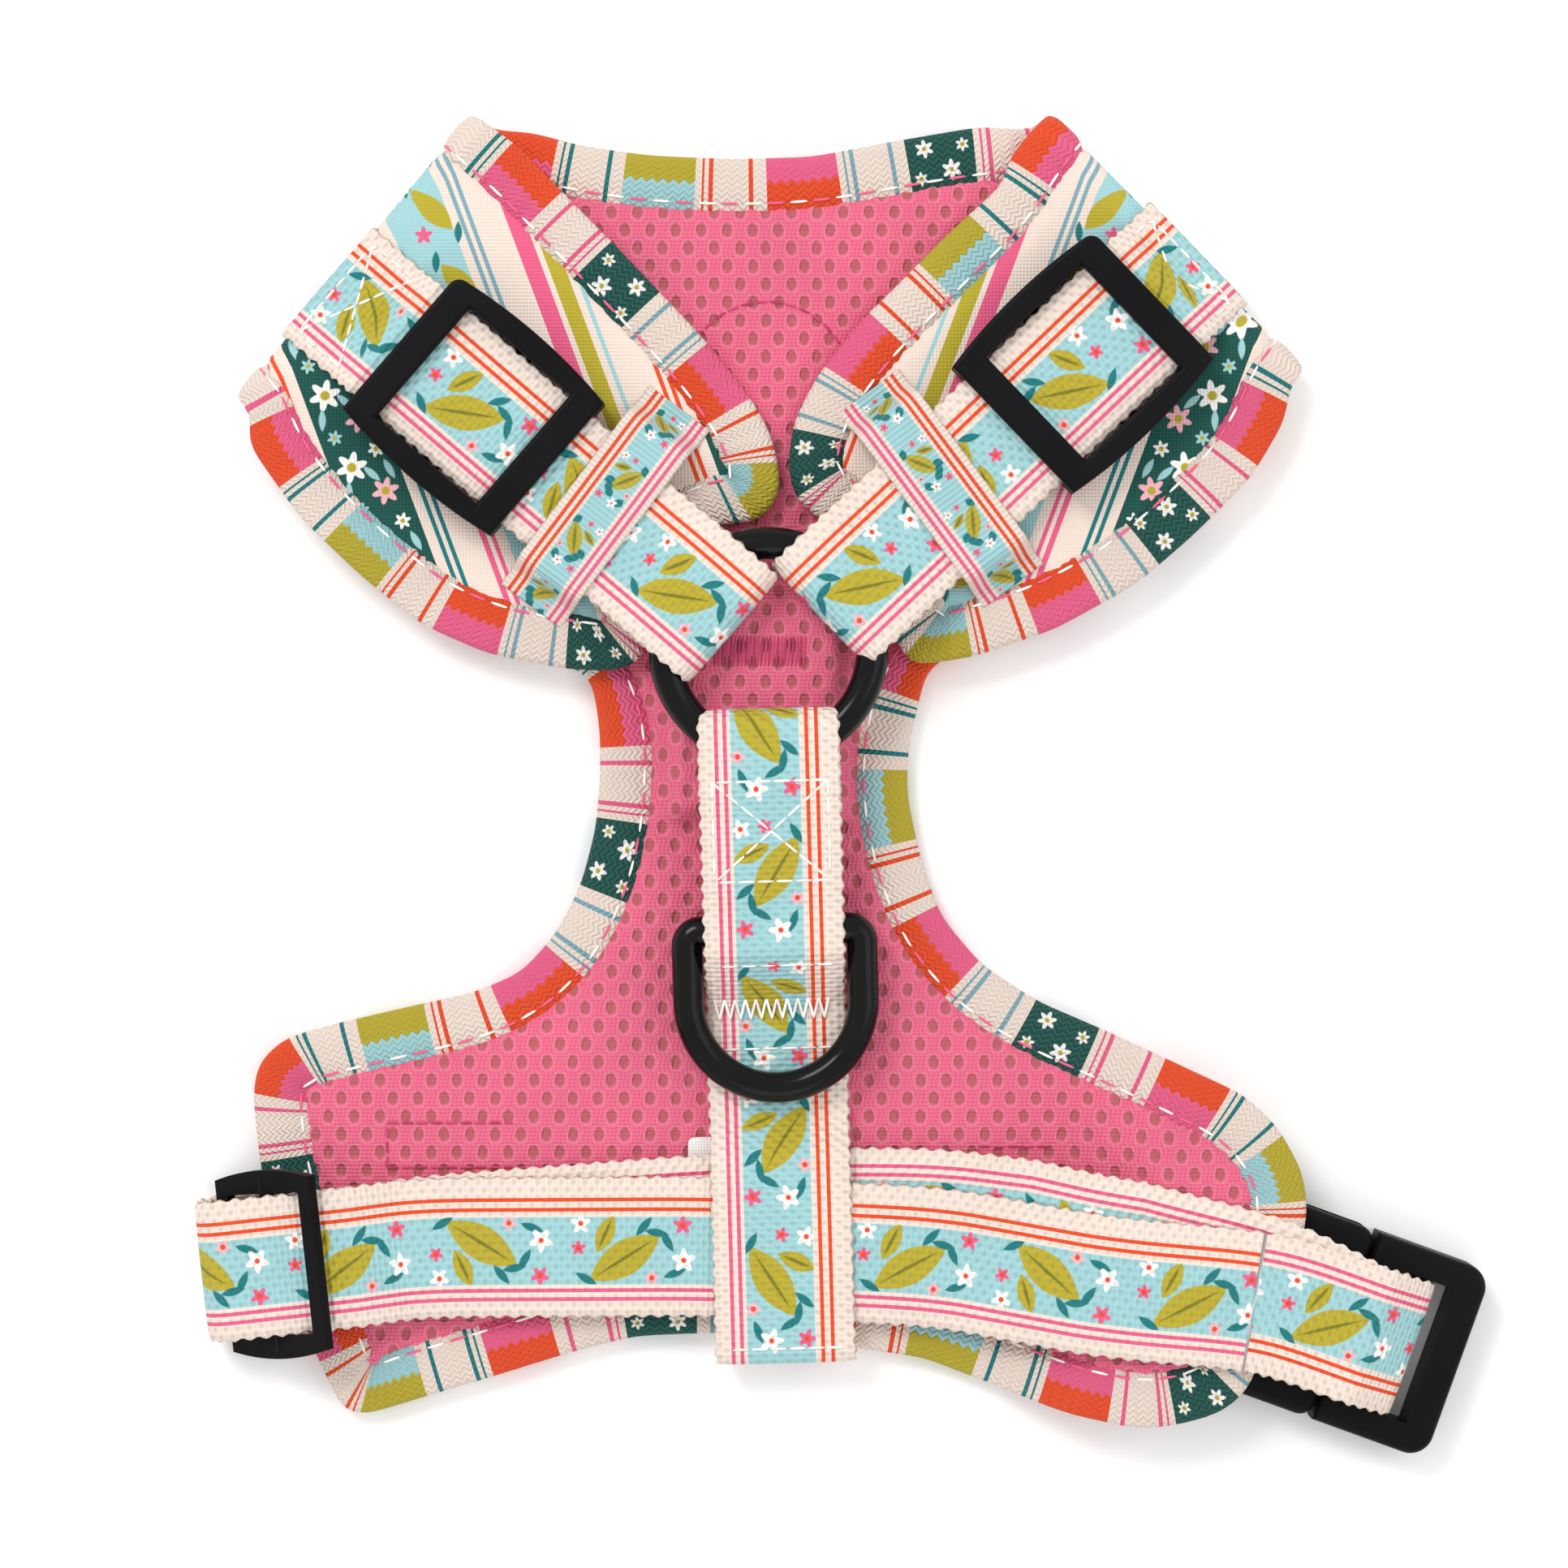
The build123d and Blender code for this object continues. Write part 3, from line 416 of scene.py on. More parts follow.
def webbing_cloth():
    """Ribbed webbing: cream edges, coral lines on one side, rose on the other, sprigs on a sky centre."""
    cloth = Cloth("printed webbing", 0.75, 0.05, 0.25)
    u, v = cloth.place()
    flat = cloth.bands(u, [(0, cream), (0.145, coral), (0.172, cream), (0.218, coral), (0.245, cream),
                           (0.282, sky), (0.768, cream), (0.795, rose), (0.822, cream), (0.858, rose),
                           (0.885, cream)])
    motif = sprigs(cloth, cloth.mul(cloth.sub(u, 0.525), web_width), v, flat, 20.4, 0.92)
    centre = cloth.mul(cloth.step(u, 0.768, 0.004), cloth.sub(1.0, cloth.step(u, 0.282, 0.004)))
    colour = cloth.mix(centre, flat, motif)
    weft = cloth.wave(v, 0.85)
    warp = cloth.wave(u, 0.055)
    cross = cloth.mul(cloth.wave(v, 1.7), cloth.wave(u, 0.11))
    relief = cloth.add(cloth.mul(cloth.add(weft, warp), 0.35), cloth.mul(cross, 0.6))
    # Painted shade: where the relief is low, in the gaps of the weave, the colour is darkened toward grey.
    gap = cloth.step(relief, -0.42, 0.22)
    colour = cloth.mix(cloth.mul(gap, 0.22), worn(cloth, colour), paint("#6B6A66"))
    return cloth.finish(colour, relief, 0.75, 0.00022)


def keeper_cloth():
    """Grosgrain: cream edges, coral double line, rose double line, dotted sky centre."""
    cloth = Cloth("printed elastic", 0.8, 0.05, 0.2)
    u, v = cloth.place()
    flat = cloth.bands(u, [(0, cream), (0.1, coral), (0.15, cream), (0.2, coral), (0.25, cream), (0.29, sky),
                           (0.72, cream), (0.77, rose), (0.82, cream), (0.87, rose), (0.92, cream)])
    motif = sprigs(cloth, cloth.mul(cloth.sub(u, 0.505), elastic_width), v, flat, 11.0, 0.42)
    centre = cloth.mul(cloth.step(u, 0.72, 0.006), cloth.sub(1.0, cloth.step(u, 0.29, 0.006)))
    rib = cloth.wave(v, 0.75)
    # Painted shade: the valleys between the ribs are darkened toward grey.
    rib_valley_shade = cloth.mul(cloth.step(rib, -0.4, 0.4), 0.22)
    colour = cloth.mix(rib_valley_shade, cloth.mix(centre, flat, motif), paint("#7D8B90"))
    return cloth.finish(worn(cloth, colour), rib, 0.6, 0.00018)


def mesh_cloth():
    """Spacer mesh: staggered upright oval holes in rows, with painted browner shade inside them that is
    darkest at their middles, a painted highlight round their rims, and fine knit ribs with painted shade in
    their low parts.
    """
    cloth = Cloth("pink air mesh", 0.85, 0.05, 0.15)
    x, y = cloth.place("Object")
    row = cloth.sum("FLOOR", cloth.mul(y, 1 / hole_row))
    shift = cloth.mul(cloth.sum("FLOORED_MODULO", row, 2.0), hole_pitch / 2)
    wander = cloth.mul(cloth.sub(cloth.noise(160.0), 0.5), 0.5)
    across = cloth.mul(cloth.within(cloth.add(cloth.add(x, shift), wander), hole_pitch), 1 / hole_half)
    up = cloth.mul(cloth.within(y, hole_row), 1 / 1.02)
    far = cloth.sum("SQRT", cloth.add(cloth.mul(across, across), cloth.mul(up, up)))
    hole = cloth.step(far, 0.9, 0.25)
    rim = cloth.mul(cloth.step(far, 1.5, 0.25), cloth.sub(1.0, hole))
    rib = cloth.wave(cloth.add(x, cloth.mul(cloth.wave(y, hole_row), 0.16)), 0.65)
    loop = cloth.wave(y, 0.54)
    knit = cloth.mul(cloth.add(rib, loop), 0.25)
    # Painted shade: the low parts of the knit are darkened to a deeper pink.
    colour = cloth.mix(cloth.mul(cloth.step(knit, -0.05, 0.3), 0.6), paint("#EA728F"), paint("#D4506F"))
    # Painted highlight: a paler ring round each hole.
    colour = cloth.mix(cloth.mul(rim, 0.4), colour, paint("#F393A8"))
    # Painted shade: each hole is darkened to a browner pink, and darker still towards its middle.
    colour = cloth.mix(hole, colour, paint("#C4626C"))
    inner = cloth.mul(cloth.step(far, 0.6, 0.3), 0.45)
    colour = cloth.mix(inner, colour, paint("#AE6460"))
    height = cloth.sub(cloth.mul(knit, 0.5), cloth.mul(hole, 1.0))
    return cloth.finish(worn(cloth, colour, 0.1), height, 0.8, 0.0004)


def fabric_cloth():
    """Printed polyester: slanting bands of flowers, leaves and plain tones with thin double lines."""
    cloth = Cloth("printed polyester", 0.75, 0.05, 0.2)
    x, y = cloth.place()
    w = cloth.add(cloth.mul(x, 0.94), cloth.mul(y, 0.35))
    run = cloth.sub(cloth.mul(x, 0.35), cloth.mul(y, 0.94))
    stops, start = [], 0.0
    pattern = [(5.2, cream), (0.6, coral), (0.6, cream), (0.6, coral), (1.6, cream), (9.6, forest),
               (1.4, cream), (0.6, teal), (0.6, cream), (0.6, teal), (4.2, cream), (0.7, rose), (0.6, cream),
               (0.7, rose),
               (1.4, cream), (8.4, sky), (1.2, cream), (0.6, slate), (0.6, cream), (0.6, slate), (4.4, cream),
               (2.6, rose), (0.8, cream), (2.2, mustard), (0.9, cream), (0.8, sky)]
    whole = sum(width for width, _ in pattern)
    for width, colour in pattern:
        stops.append((start / whole, colour))
        start += width
    colour = cloth.bands(cloth.mul(cloth.sum("FLOORED_MODULO", w, whole), 1 / whole), stops)
    green = cloth.sub(cloth.sum("FLOORED_MODULO", w, whole), 13.4)
    pale = cloth.sub(cloth.sum("FLOORED_MODULO", w, whole), 35.6)
    cell = cloth.within(run, 11.0)
    for center, radius, petal in [((-1.6, -2.6), 2.3, white), ((1.8, 2.2), 2.0, blush),
                                  ((-2.4, 3.6), 1.1, sky), ((2.6, -3.9), 1.2, white)]:
        colour = cloth.flower(colour, green, cell, center, radius, petal, mustard, radius * 0.3, 6)
    for center, angle in [((0.8, -0.8), 60), ((-3.2, 0.6), 110), ((3.4, -0.6), 80)]:
        colour = cloth.mix(cloth.leaf(green, cell, center, angle, 3.2, 1.0), colour, sky)
    for center, angle, length, width, tone in [((0, 0), 64, 7.6, 3.2, mustard),
                                               ((2.3, 4.1), 110, 3.2, 1.1, teal),
                                               ((-2.2, -4.0), 110, 3.2, 1.1, teal)]:
        colour = cloth.mix(cloth.leaf(pale, cell, center, angle, length, width), colour, tone)
    colour = cloth.mix(cloth.bloom(pale, cell, (-2.5, 2.8), 1.3), colour, rose)
    weave = cloth.add(cloth.wave(x, 0.5), cloth.wave(y, 0.5))
    # Painted shade: the low parts of the weave are darkened slightly toward grey.
    colour = cloth.mix(cloth.mul(cloth.step(weave, -0.9, 0.4), 0.12), colour, paint("#8C8480"))
    return cloth.finish(worn(cloth, colour), weave, 0.35, 0.0001)


def binding_cloth():
    """Folded knit elastic: colour blocks split by a zig-zag, thin double lines and cream in turn."""
    cloth = Cloth("printed binding", 0.85, 0.05, 0.15)
    u, v = cloth.place()
    zig = cloth.sum("ABSOLUTE", cloth.within(v, 1.5))
    blocks = [((rose, coral), teal), ((sky, mustard), coral),
              ((coral, rose), slate), ((forest, forest), rose)]
    sides = []
    for side in (0, 1):
        stops, start = [], 0.0
        for tones, line in blocks:
            for width, colour in [(9.8, tones[side]), (0.9, cream), (0.55, line), (0.5, cream), (0.55, line),
                                  (5.2, cream), (0.55, line), (0.5, cream)]:
                stops.append((start / repeat, colour))
                start += width
            start = repeat / len(blocks) * (len(stops) // 8)
        sides.append(cloth.bands(cloth.mul(cloth.sum("FLOORED_MODULO", v, repeat), 1 / repeat), stops))
    split = cloth.step(cloth.add(u, cloth.mul(zig, 0.12)), 0.52, 0.01)
    colour = cloth.mix(split, sides[0], sides[1])
    local = cloth.sub(cloth.sum("FLOORED_MODULO", v, repeat), 64.9)
    for center, radius in [((-2.0, -2.2), 1.35), ((1.5, 1.4), 1.5), ((-1.8, 3.4), 1.0), ((2.2, -3.3), 1.0)]:
        place = cloth.mul(cloth.sub(u, 0.5), binding_width)
        colour = cloth.flower(colour, place, local, center, radius, white, mustard, 0.35, 6)
    knit = cloth.wave(cloth.add(cloth.mul(u, binding_width), cloth.mul(zig, 1.0)), 0.9)
    # Painted shade: the low parts of the knit are darkened toward grey.
    colour = cloth.mix(cloth.mul(cloth.step(knit, -0.35, 0.4), 0.16), colour, paint("#8A7F7C"))
    return cloth.finish(worn(cloth, colour), knit, 0.7, 0.00022)


def plain_cloth(name, colour, roughness=0.85):
    """Plain woven cloth: two crossed waves 0.4 mm apart."""
    cloth = Cloth(name, roughness, 0.15)
    x, y = cloth.place("Object")
    weave = cloth.add(cloth.wave(x, 0.42), cloth.wave(y, 0.42))
    shade = cloth.mix(cloth.mul(cloth.step(weave, -0.7, 0.5), 0.18), colour, paint("#5A5656"))
    return cloth.finish(worn(cloth, shade), weave, 0.4, 0.0001)


def thread_cloth(name, first, second):
    """Twisted thread; each stitch takes one of two shades in turn."""
    cloth = Cloth(name, 0.6, 0.2)
    _, v = cloth.place()
    every = cloth.sum("FLOORED_MODULO", cloth.sum("ROUND", v), 2.0)
    colour = cloth.mix(every, first, second)
    return cloth.finish(colour, cloth.noise(3000.0), 0.3, 0.00008)


def moulded_plastic():
    """Satin black acetal: fine grain, slightly paler and glossier where hands rub it."""
    cloth = Cloth("moulded black plastic", 0.38, 0.0, 0.08)
    grain = cloth.noise(2600.0, 3.0)
    rub = cloth.noise(60.0)
    colour = cloth.mix(cloth.step(rub, 0.45, 0.2), paint("#121214"), paint("#0C0C0E"))
    rough = cloth.add(0.3, cloth.mul(cloth.add(rub, grain), 0.14))
    return cloth.finish(colour, grain, 0.18, 0.00006, rough)


def coated_wire():
    """Gloss black coating over wire, with soft orange-peel and faint rubbed patches."""
    cloth = Cloth("gloss black wire", 0.16, 0.0, 0.12)
    peel = cloth.noise(700.0)
    rub = cloth.noise(110.0)
    colour = cloth.mix(cloth.step(rub, 0.42, 0.1), paint("#0C0C0E"), paint("#060607"))
    cloth.shader.inputs["Coat Weight"].default_value = 0.12
    cloth.shader.inputs["Coat Roughness"].default_value = 0.08
    return cloth.finish(colour, peel, 0.08, 0.0001, cloth.add(0.1, cloth.mul(rub, 0.18)))


makers = {
    "webbing": webbing_cloth, "keeper": keeper_cloth, "mesh": mesh_cloth, "fabric": fabric_cloth,
    "binding": binding_cloth, "plastic": moulded_plastic, "wire": coated_wire,
    "white thread": lambda: thread_cloth("white thread", white, paint("#EDE6DF")),
    "rim thread": lambda: thread_cloth("rim thread", white, rose),
    "rose thread": lambda: thread_cloth("rose thread", paint("#B3305C"), paint("#C8406C")),
    "patch": lambda: plain_cloth("plain patch cloth", forest),
    "label": lambda: plain_cloth("label tape", white),
}
made = {}


def material(name):
    """The named finish, made once."""
    if name not in made:
        made[name] = makers[name]()
    return made[name]


def sew(name, pairs, radius, thread, slot):
    """One piece of stitching on the harness from pairs of starts and ends."""
    starts, ends = (np.vstack([pair[k] for pair in pairs]) for k in (0, 1))
    settle(stitches(name, starts, ends, radius, material(thread)), root, slot)


# --- Panel outline and the map that folds its arms over ---
left_fold = ((-84.6, 53.1), (-50.9, 93.8))
right_fold = ((63.9, 56.9), (27.3, 93.75))
mid_z, roll_z, roll_mid = 2.5, 4.3, 1.8
wrap = np.pi * roll_mid
binding_width, repeat = 8.0, 80.0
pad_center, pad_half, pad_rise = (-12.5, 13.0), (12.9, 18.5), 4.2
buckle_tip, buckle_heading, buckle_end = np.array([88.1, -83.7]), -19.9, 111.8
buckle_dir = np.array([np.cos(np.radians(buckle_heading)), np.sin(np.radians(buckle_heading))])
neckline = [(-50.9, 93.8), (-45.0, 93.6), (-37.7, 91.6), (-27.8, 90.2), (-16.2, 89.7), (-4.5, 90.0),
            (4.8, 91.8), (11.7, 93.0), (19.9, 94.4), (27.3, 93.75)]
right_side = [(63.9, 56.9), (56.0, 44.0), (38.0, 29.8), (20.0, 21.2), (12.0, 16.1), (9.4, 5.1),
              (9.2, -1.9), (11.2, -11.2), (14.1, -19.4), (19.9, -26.3), (28.0, -31.6), (36.2, -35.1),
              (47.8, -40.3), (57.1, -44.6), (61.8, -49.0), (65.4, -55.4), (66.2, -61.2), (64.0, -71.0),
              (60.6, -79.5), (57.4, -87.0), (53.6, -90.0), (47.8, -91.6), (42.0, -92.3), (30.4, -89.7),
              (18.7, -85.7), (11.7, -82.9), (2.4, -81.6), (-7.0, -80.6), (-18.5, -79.3), (-30.1, -79.8),
              (-39.4, -82.2), (-48.7, -85.1), (-60.4, -88.6), (-69.0, -91.2), (-72.0, -90.6),
              (-76.6, -81.0), (-81.0, -66.0), (-83.9, -55.4), (-85.0, -45.0), (-84.4, -40.6),
              (-80.7, -37.0), (-74.3, -35.1), (-62.7, -32.4), (-53.4, -30.4), (-46.4, -27.5),
              (-41.2, -21.7), (-37.7, -14.7), (-35.6, -6.6), (-35.0, 0.4), (-35.0, 7.4), (-36.2, 15.0),
              (-45.0, 19.5), (-58.0, 25.0), (-72.0, 36.5), (-84.6, 53.1)]
right_arm = [(27.3, 93.75), (23.4, 89.0), (23.2, 85.9), (14.7, 78.3), (8.0, 71.4), (2.4, 66.0),
             (-3.5, 58.6), (-7.0, 52.0), (-8.0, 46.0), (-7.2, 41.0), (-3.8, 37.4), (3.0, 36.6),
             (5.6, 31.0), (6.6, 22.0), (9.6, 16.6), (18.7, 17.9), (30.4, 21.9), (42.0, 28.3), (50.1, 35.3),
             (58.3, 43.4), (63.4, 52.0), (63.9, 56.9)]
left_arm = [(-84.6, 53.1), (-85.4, 48.6), (-77.8, 37.8), (-69.1, 29.5), (-60.4, 22.5), (-51.1, 18.4),
            (-39.4, 16.1), (-32.4, 15.9), (-28.6, 17.4), (-27.4, 24.0), (-26.4, 32.0), (-20.0, 36.6),
            (-12.0, 37.2), (-9.0, 41.0), (-9.2, 45.0), (-10.4, 50.0), (-13.3, 55.1), (-19.7, 63.2),
            (-32.4, 76.6), (-39.4, 83.6), (-46.0, 90.6), (-50.9, 93.8)]


def fold_axes(fold):
    """Foot, heading along a fold line and heading out of the panel."""
    foot, head = np.array(fold[0]), np.array(fold[1])
    along = unit(head - foot)
    out = np.array([-along[1], along[0]])
    return foot, along, out if (out @ (foot - [-10, 20])) > 0 else -out


def unfolded(points, fold):
    """Arm points laid flat beyond their fold: a distance d inside the fold goes to d + pi r outside it."""
    foot, _, out = fold_axes(fold)
    points = np.asarray(points, float)
    inside = -(points - foot) @ out
    return points + out * (2 * inside + wrap)[:, None]


def raised(x, y):
    """Lift of the panel: the cover of the chest ring, and the slope up over the buckle."""
    cover = 1.0
    for value, center, half in ((x, pad_center[0], pad_half[0]), (y, pad_center[1], pad_half[1])):
        cover = cover * eased(half + 1.2 - np.abs(value - center), 0, 3.4)
    u = (x - buckle_tip[0]) * buckle_dir[0] + (y - buckle_tip[1]) * buckle_dir[1] + buckle_end
    return pad_rise * cover + 6.8 * np.clip((u - 49.0) / 13.4, 0, 1) * eased(-y, 0, 30)


def placed(flat, height):
    """Folded place of unfolded points: past a fold line they run round the roll, then back over the panel.

    With b the distance past the line and r the roll's middle radius: angle = b / r up to pi,
    place = line + out (r - h) sin(angle), z = roll centre - (r - h) cos(angle).
    Past pi r the arm lies at -(b - pi r).
    """
    flat, height = np.asarray(flat, float), np.broadcast_to(height, np.shape(flat)[:-1])
    z = mid_z + height + raised(flat[..., 0], flat[..., 1])
    spot = np.concatenate([flat, z[..., None]], axis=-1)
    for fold in (left_fold, right_fold):
        foot, along, out = fold_axes(fold)
        b = (flat - foot) @ out
        s = (flat - foot) @ along
        angle = np.clip(b / roll_mid, 0, np.pi)
        reach = (roll_mid - height) * np.sin(angle) - np.maximum(b - wrap, 0)
        xy = foot + along * s[..., None] + out * reach[..., None]
        z = roll_z - (roll_mid - height) * np.cos(angle)
        turned = np.concatenate([xy, z[..., None]], axis=-1)
        spot = np.where((b > 0)[..., None] & (flat[..., 1:] > 0), turned, spot)
    return spot


outline = softened(evenly(np.vstack([
    neckline, unfolded(right_arm, right_fold), right_side, unfolded(left_arm, left_fold)[:-1],
]), 0.7, closed=True), 2.6, closed=True)


def inward(rows):
    """Unit normals of a closed row of flat points, to its inside."""
    ahead = unit(np.roll(rows, -1, axis=0) - np.roll(rows, 1, axis=0))
    area = np.sum(rows[:, 0] * np.roll(rows[:, 1], -1) - np.roll(rows[:, 0], -1) * rows[:, 1])
    return np.column_stack([-ahead[:, 1], ahead[:, 0]]) * np.sign(area)


def inset(distance, spread):
    """The outline moved inwards, its crowded turns averaged out."""
    return softened(outline + inward(outline) * distance, spread, closed=True)


def inside_of(loop, x, y):
    """Even-odd test: inside, a line to the right of a point crosses the loop an odd number of times."""
    crossed = np.zeros(x.shape, bool)
    following = np.roll(loop, -1, axis=0)
    for (x0, y0), (x1, y1) in zip(loop, following):
        if y0 != y1:
            crossed ^= ((y0 > y) != (y1 > y)) & (x < (x1 - x0) * (y - y0) / (y1 - y0) + x0)
    return crossed


def mirrored(flat):
    """The print's own plan: arm points turned back over their fold, x then measured from the middle."""
    plan = flat.copy()
    for fold in (left_fold, right_fold):
        foot, _, out = fold_axes(fold)
        b = (flat - foot) @ out
        plan = np.where(((b > 0) & (flat[:, 1] > 0))[:, None], flat - out * (2 * b - wrap)[:, None], plan)
    return np.column_stack([-np.abs(plan[:, 0] + 10.7), plan[:, 1]])


def layer(name, low, high, step, keep, cloth, edge=5.0, dimples=False, puff=0.0):
    """A closed layer of the panel between two heights on a grid of unfolded points inside the binding.

    top = high + puff (1 - e^(-d/7)) with d the distance in from the binding, less 0.5 mm in each mesh hole.
    """
    rim = inset(edge, 4.0)[::3]
    lowest, highest = rim.min(axis=0), rim.max(axis=0)
    xs = np.arange(np.floor(lowest[0] / step[0]) * step[0], highest[0] + step[0], step[0])
    ys = np.arange(np.floor(lowest[1] / step[1]) * step[1], highest[1] + step[1], step[1])
    x, y = np.meshgrid(xs, ys, indexing="ij")
    cx, cy = (x[:-1, :-1] + step[0] / 2), (y[:-1, :-1] + step[1] / 2)
    mask = inside_of(rim, cx, cy) & keep(cx, cy)
    near = inset(binding_width, 4.0)[::6]
    depth = np.full(x.shape, 50.0)
    for start in range(0, len(near), 40):
        part = near[start:start + 40]
        far = np.min((x[..., None] - part[:, 0]) ** 2 + (y[..., None] - part[:, 1]) ** 2, axis=-1)
        depth = np.minimum(depth, np.sqrt(far))
    within = inside_of(near, x, y)
    tucked = np.where(within, 0, eased(depth, 0, 0.9))
    top = high + puff * np.where(within, 1 - np.exp(-depth / 7), 0) - 0.5 * tucked * (high > 1.2)
    base = low + 0.45 * tucked * (low < -1.2)
    if dimples:
        shift = np.where(np.floor(y / hole_row) % 2 > 0.5, hole_pitch / 2, 0.0)
        across = ((x + shift) % hole_pitch - hole_pitch / 2) / hole_half
        up = (y % hole_row - hole_row / 2) / 1.0
        fade = np.where(within, eased(depth, 0.2, 1.0), 0)
        top = top - 0.35 * np.exp(-(across ** 2 + up ** 2) ** 1.5) * fade
    flat = np.stack([x, y], axis=-1)
    verts = np.concatenate([placed(flat, top).reshape(-1, 3), placed(flat, base).reshape(-1, 3)])
    number = np.arange(x.size).reshape(x.shape)
    a, b, c, d = (number[s, t][mask] for s, t in
                  ((slice(None, -1), slice(None, -1)), (slice(1, None), slice(None, -1)),
                   (slice(1, None), slice(1, None)), (slice(None, -1), slice(1, None))))
    top_faces = np.column_stack([a, b, c, d])
    sides = []
    solid = np.pad(mask, 1)
    for p, q, di, dj in ((a, b, 0, -1), (b, c, 1, 0), (c, d, 0, 1), (d, a, -1, 0)):
        i, j = np.nonzero(mask)
        bare = ~solid[i + 1 + di, j + 1 + dj]
        sides.append(np.column_stack([p[bare], p[bare] + x.size, q[bare] + x.size, q[bare]]))
    faces = np.concatenate([top_faces, top_faces[:, ::-1] + x.size] + sides)
    used, faces = np.unique(faces, return_inverse=True)
    faces = faces.reshape(-1, 4)
    plan = np.concatenate([mirrored(flat.reshape(-1, 2))] * 2)[used]
    area = mask.sum() * step[0] * step[1] * mm * mm
    return piece(name, verts[used], faces, plan[faces], material(cloth)), area


def on_arm(fold):
    """Test for unfolded points past a fold line."""
    foot, _, out = fold_axes(fold)
    return lambda x, y: ((x - foot[0]) * out[0] + (y - foot[1]) * out[1] > 0.4) & (y > 0)


def on_panel(x, y):
    """Test for unfolded points short of both fold lines."""
    return ~(on_arm(left_fold)(x, y) | on_arm(right_fold)(x, y))


# --- Strap lines ---
web_width, web_thick = 20.0, 0.9
tab_width = 15.0
elastic_width, elastic_thick = 10.7, 0.6
end_width = web_width - 0.6
loop_z, over_ring_z = 8.95, 15.05
under_z, over_z, cover_z, over_dee_z = 4.85, 5.95, 8.35, 11.85
girth_over_z, buckle_under_z, buckle_over_z = 7.15, 11.55, 12.75
arm_z, over_slider_z, slider_bar_z = 8.1, 11.95, 10.75
back_length = 93.35
shoulders = {
    "left": dict(at=(-14.4, 20.4), heading=139.2, along=3.65, fold=5.2, keeper=30.9, slider=54.0, end=82.0),
    "right": dict(at=(-4.5, 22.6), heading=43.8, along=6.9, fold=8.2, keeper=33.6, slider=60.1, end=83.5),
}
back = dict(at=(-10.8, 10.5), heading=-88.4, along=0.0)


def heading_of(line):
    turn = np.radians(line["heading"])
    return np.array([np.cos(turn), np.sin(turn), 0.0]), np.array([np.sin(turn), -np.cos(turn), 0.0])


def upon(line, s, across, z):
    """Points at distances along and across a strap line, at a height."""
    ahead, side = heading_of(line)
    s, across, z = np.broadcast_arrays(np.asarray(s, float), across, z)
    foot = np.array([*line["at"], 0.0])
    return foot + (s - line["along"])[..., None] * ahead + across[..., None] * side + z[..., None] * [0, 0, 1]


def along_line(line, route, radii, step=0.45):
    """A route of (distance, height) corners rounded off and stood on its strap line."""
    rows = rounded(route, radii, step)
    return upon(line, rows[:, 0], 0.0, rows[:, 1])


def tacks(line, s0, s1, half, z):
    """Sewn box with a cross inside it, as rows of points."""
    corners = [(s0, -half), (s1, -half), (s1, half), (s0, half), (s0, -half)]
    rows = [corners, [(s0, -half), (s1, half)], [(s0, half), (s1, -half)]]
    return [upon(line, *np.array(row).T, z) for row in rows]


def zigzag(line, s0, s1, half, z, pitch=0.85, shift=0.0):
    """A bar of close zig-zag stitches across a strap: threads between its two sides in turn."""
    across = np.arange(-half, half, pitch) + shift
    return upon(line, s0, across, z), upon(line, s1, across + pitch / 2, z)


girth_plan = np.array([(-100, -71.0), (-60.0, -66.6), (-20.0, -66.4),
                       (12.0, -67.8), (40.0, -72.0), (59.0, -73.6)])


def on_axis(u):
    return buckle_tip + (np.asarray(u, float)[..., None] - buckle_end) * buckle_dir


girth_line = softened(evenly(np.vstack([girth_plan, on_axis([83.8]), on_axis([122.0])]), 0.5), 9.0)
girth_run = np.r_[0, np.cumsum(np.linalg.norm(np.diff(girth_line, axis=0), axis=1))]
girth_side = unit(np.column_stack([-np.gradient(girth_line[:, 1]), np.gradient(girth_line[:, 0])]))
plug_mark = float(np.interp(on_axis(83.8)[0], girth_line[:, 0], girth_run))


def girth_mark(x):
    """Distance along the girth line at an X."""
    return float(np.interp(x, girth_line[:, 0], girth_run))


def girth_place(route, radii, step=0.45):
    """Route of (distance, height) corners along the girth line: its points and their sideways headings."""
    rows = rounded(route, radii, step)
    plan = [np.interp(rows[:, 0], girth_run, girth_line[:, k]) for k in (0, 1)]
    spot = np.column_stack(plan + [rows[:, 1]])
    below = (np.arange(len(rows)) > 0.5 * len(rows)) & (rows[:, 1] < 11.7)
    swing = np.interp(spot[:, 0], [-62, -20, 0, 26, 42, 59, 74], [0, 3.0, 4.8, 6.0, 5.2, 2.4, 0])
    spot[:, 1] += swing * below
    side = [np.interp(rows[:, 0], girth_run, girth_side[:, k]) for k in (0, 1)]
    return spot, np.column_stack(side + [0 * rows[:, 1]])


# --- What a user may change ---
class HarnessSizes(bpy.types.PropertyGroup):
    """Sizes of the cloth work."""

    puff: FloatProperty(name="Mesh puff", default=0.3, min=0.0, max=1.0,
                        description="How far the mesh lining swells between its seams, in mm")
    rim_swell: FloatProperty(name="Binding swell", description="Half thickness of the rolled binding, in mm",
                             default=1.95, min=1.5, max=2.4)
    stitch_length: FloatProperty(name="Stitch length", description="Length of a running stitch, in mm",
                                 default=2.3, min=1.0, max=5.0)
    thread_radius: FloatProperty(name="Thread radius", default=0.2, min=0.05, max=0.5,
                                 description="Half thickness of the sewing thread, in mm")


class HarnessColours(bpy.types.PropertyGroup):
    """Colours of the stage."""

    floor: FloatVectorProperty(name="Floor", description="Colour of the floor", subtype="COLOR",
                               default=(0.99, 0.99, 0.99), min=0.0, max=1.0)


def sizes():
    return bpy.context.scene.harness_sizes


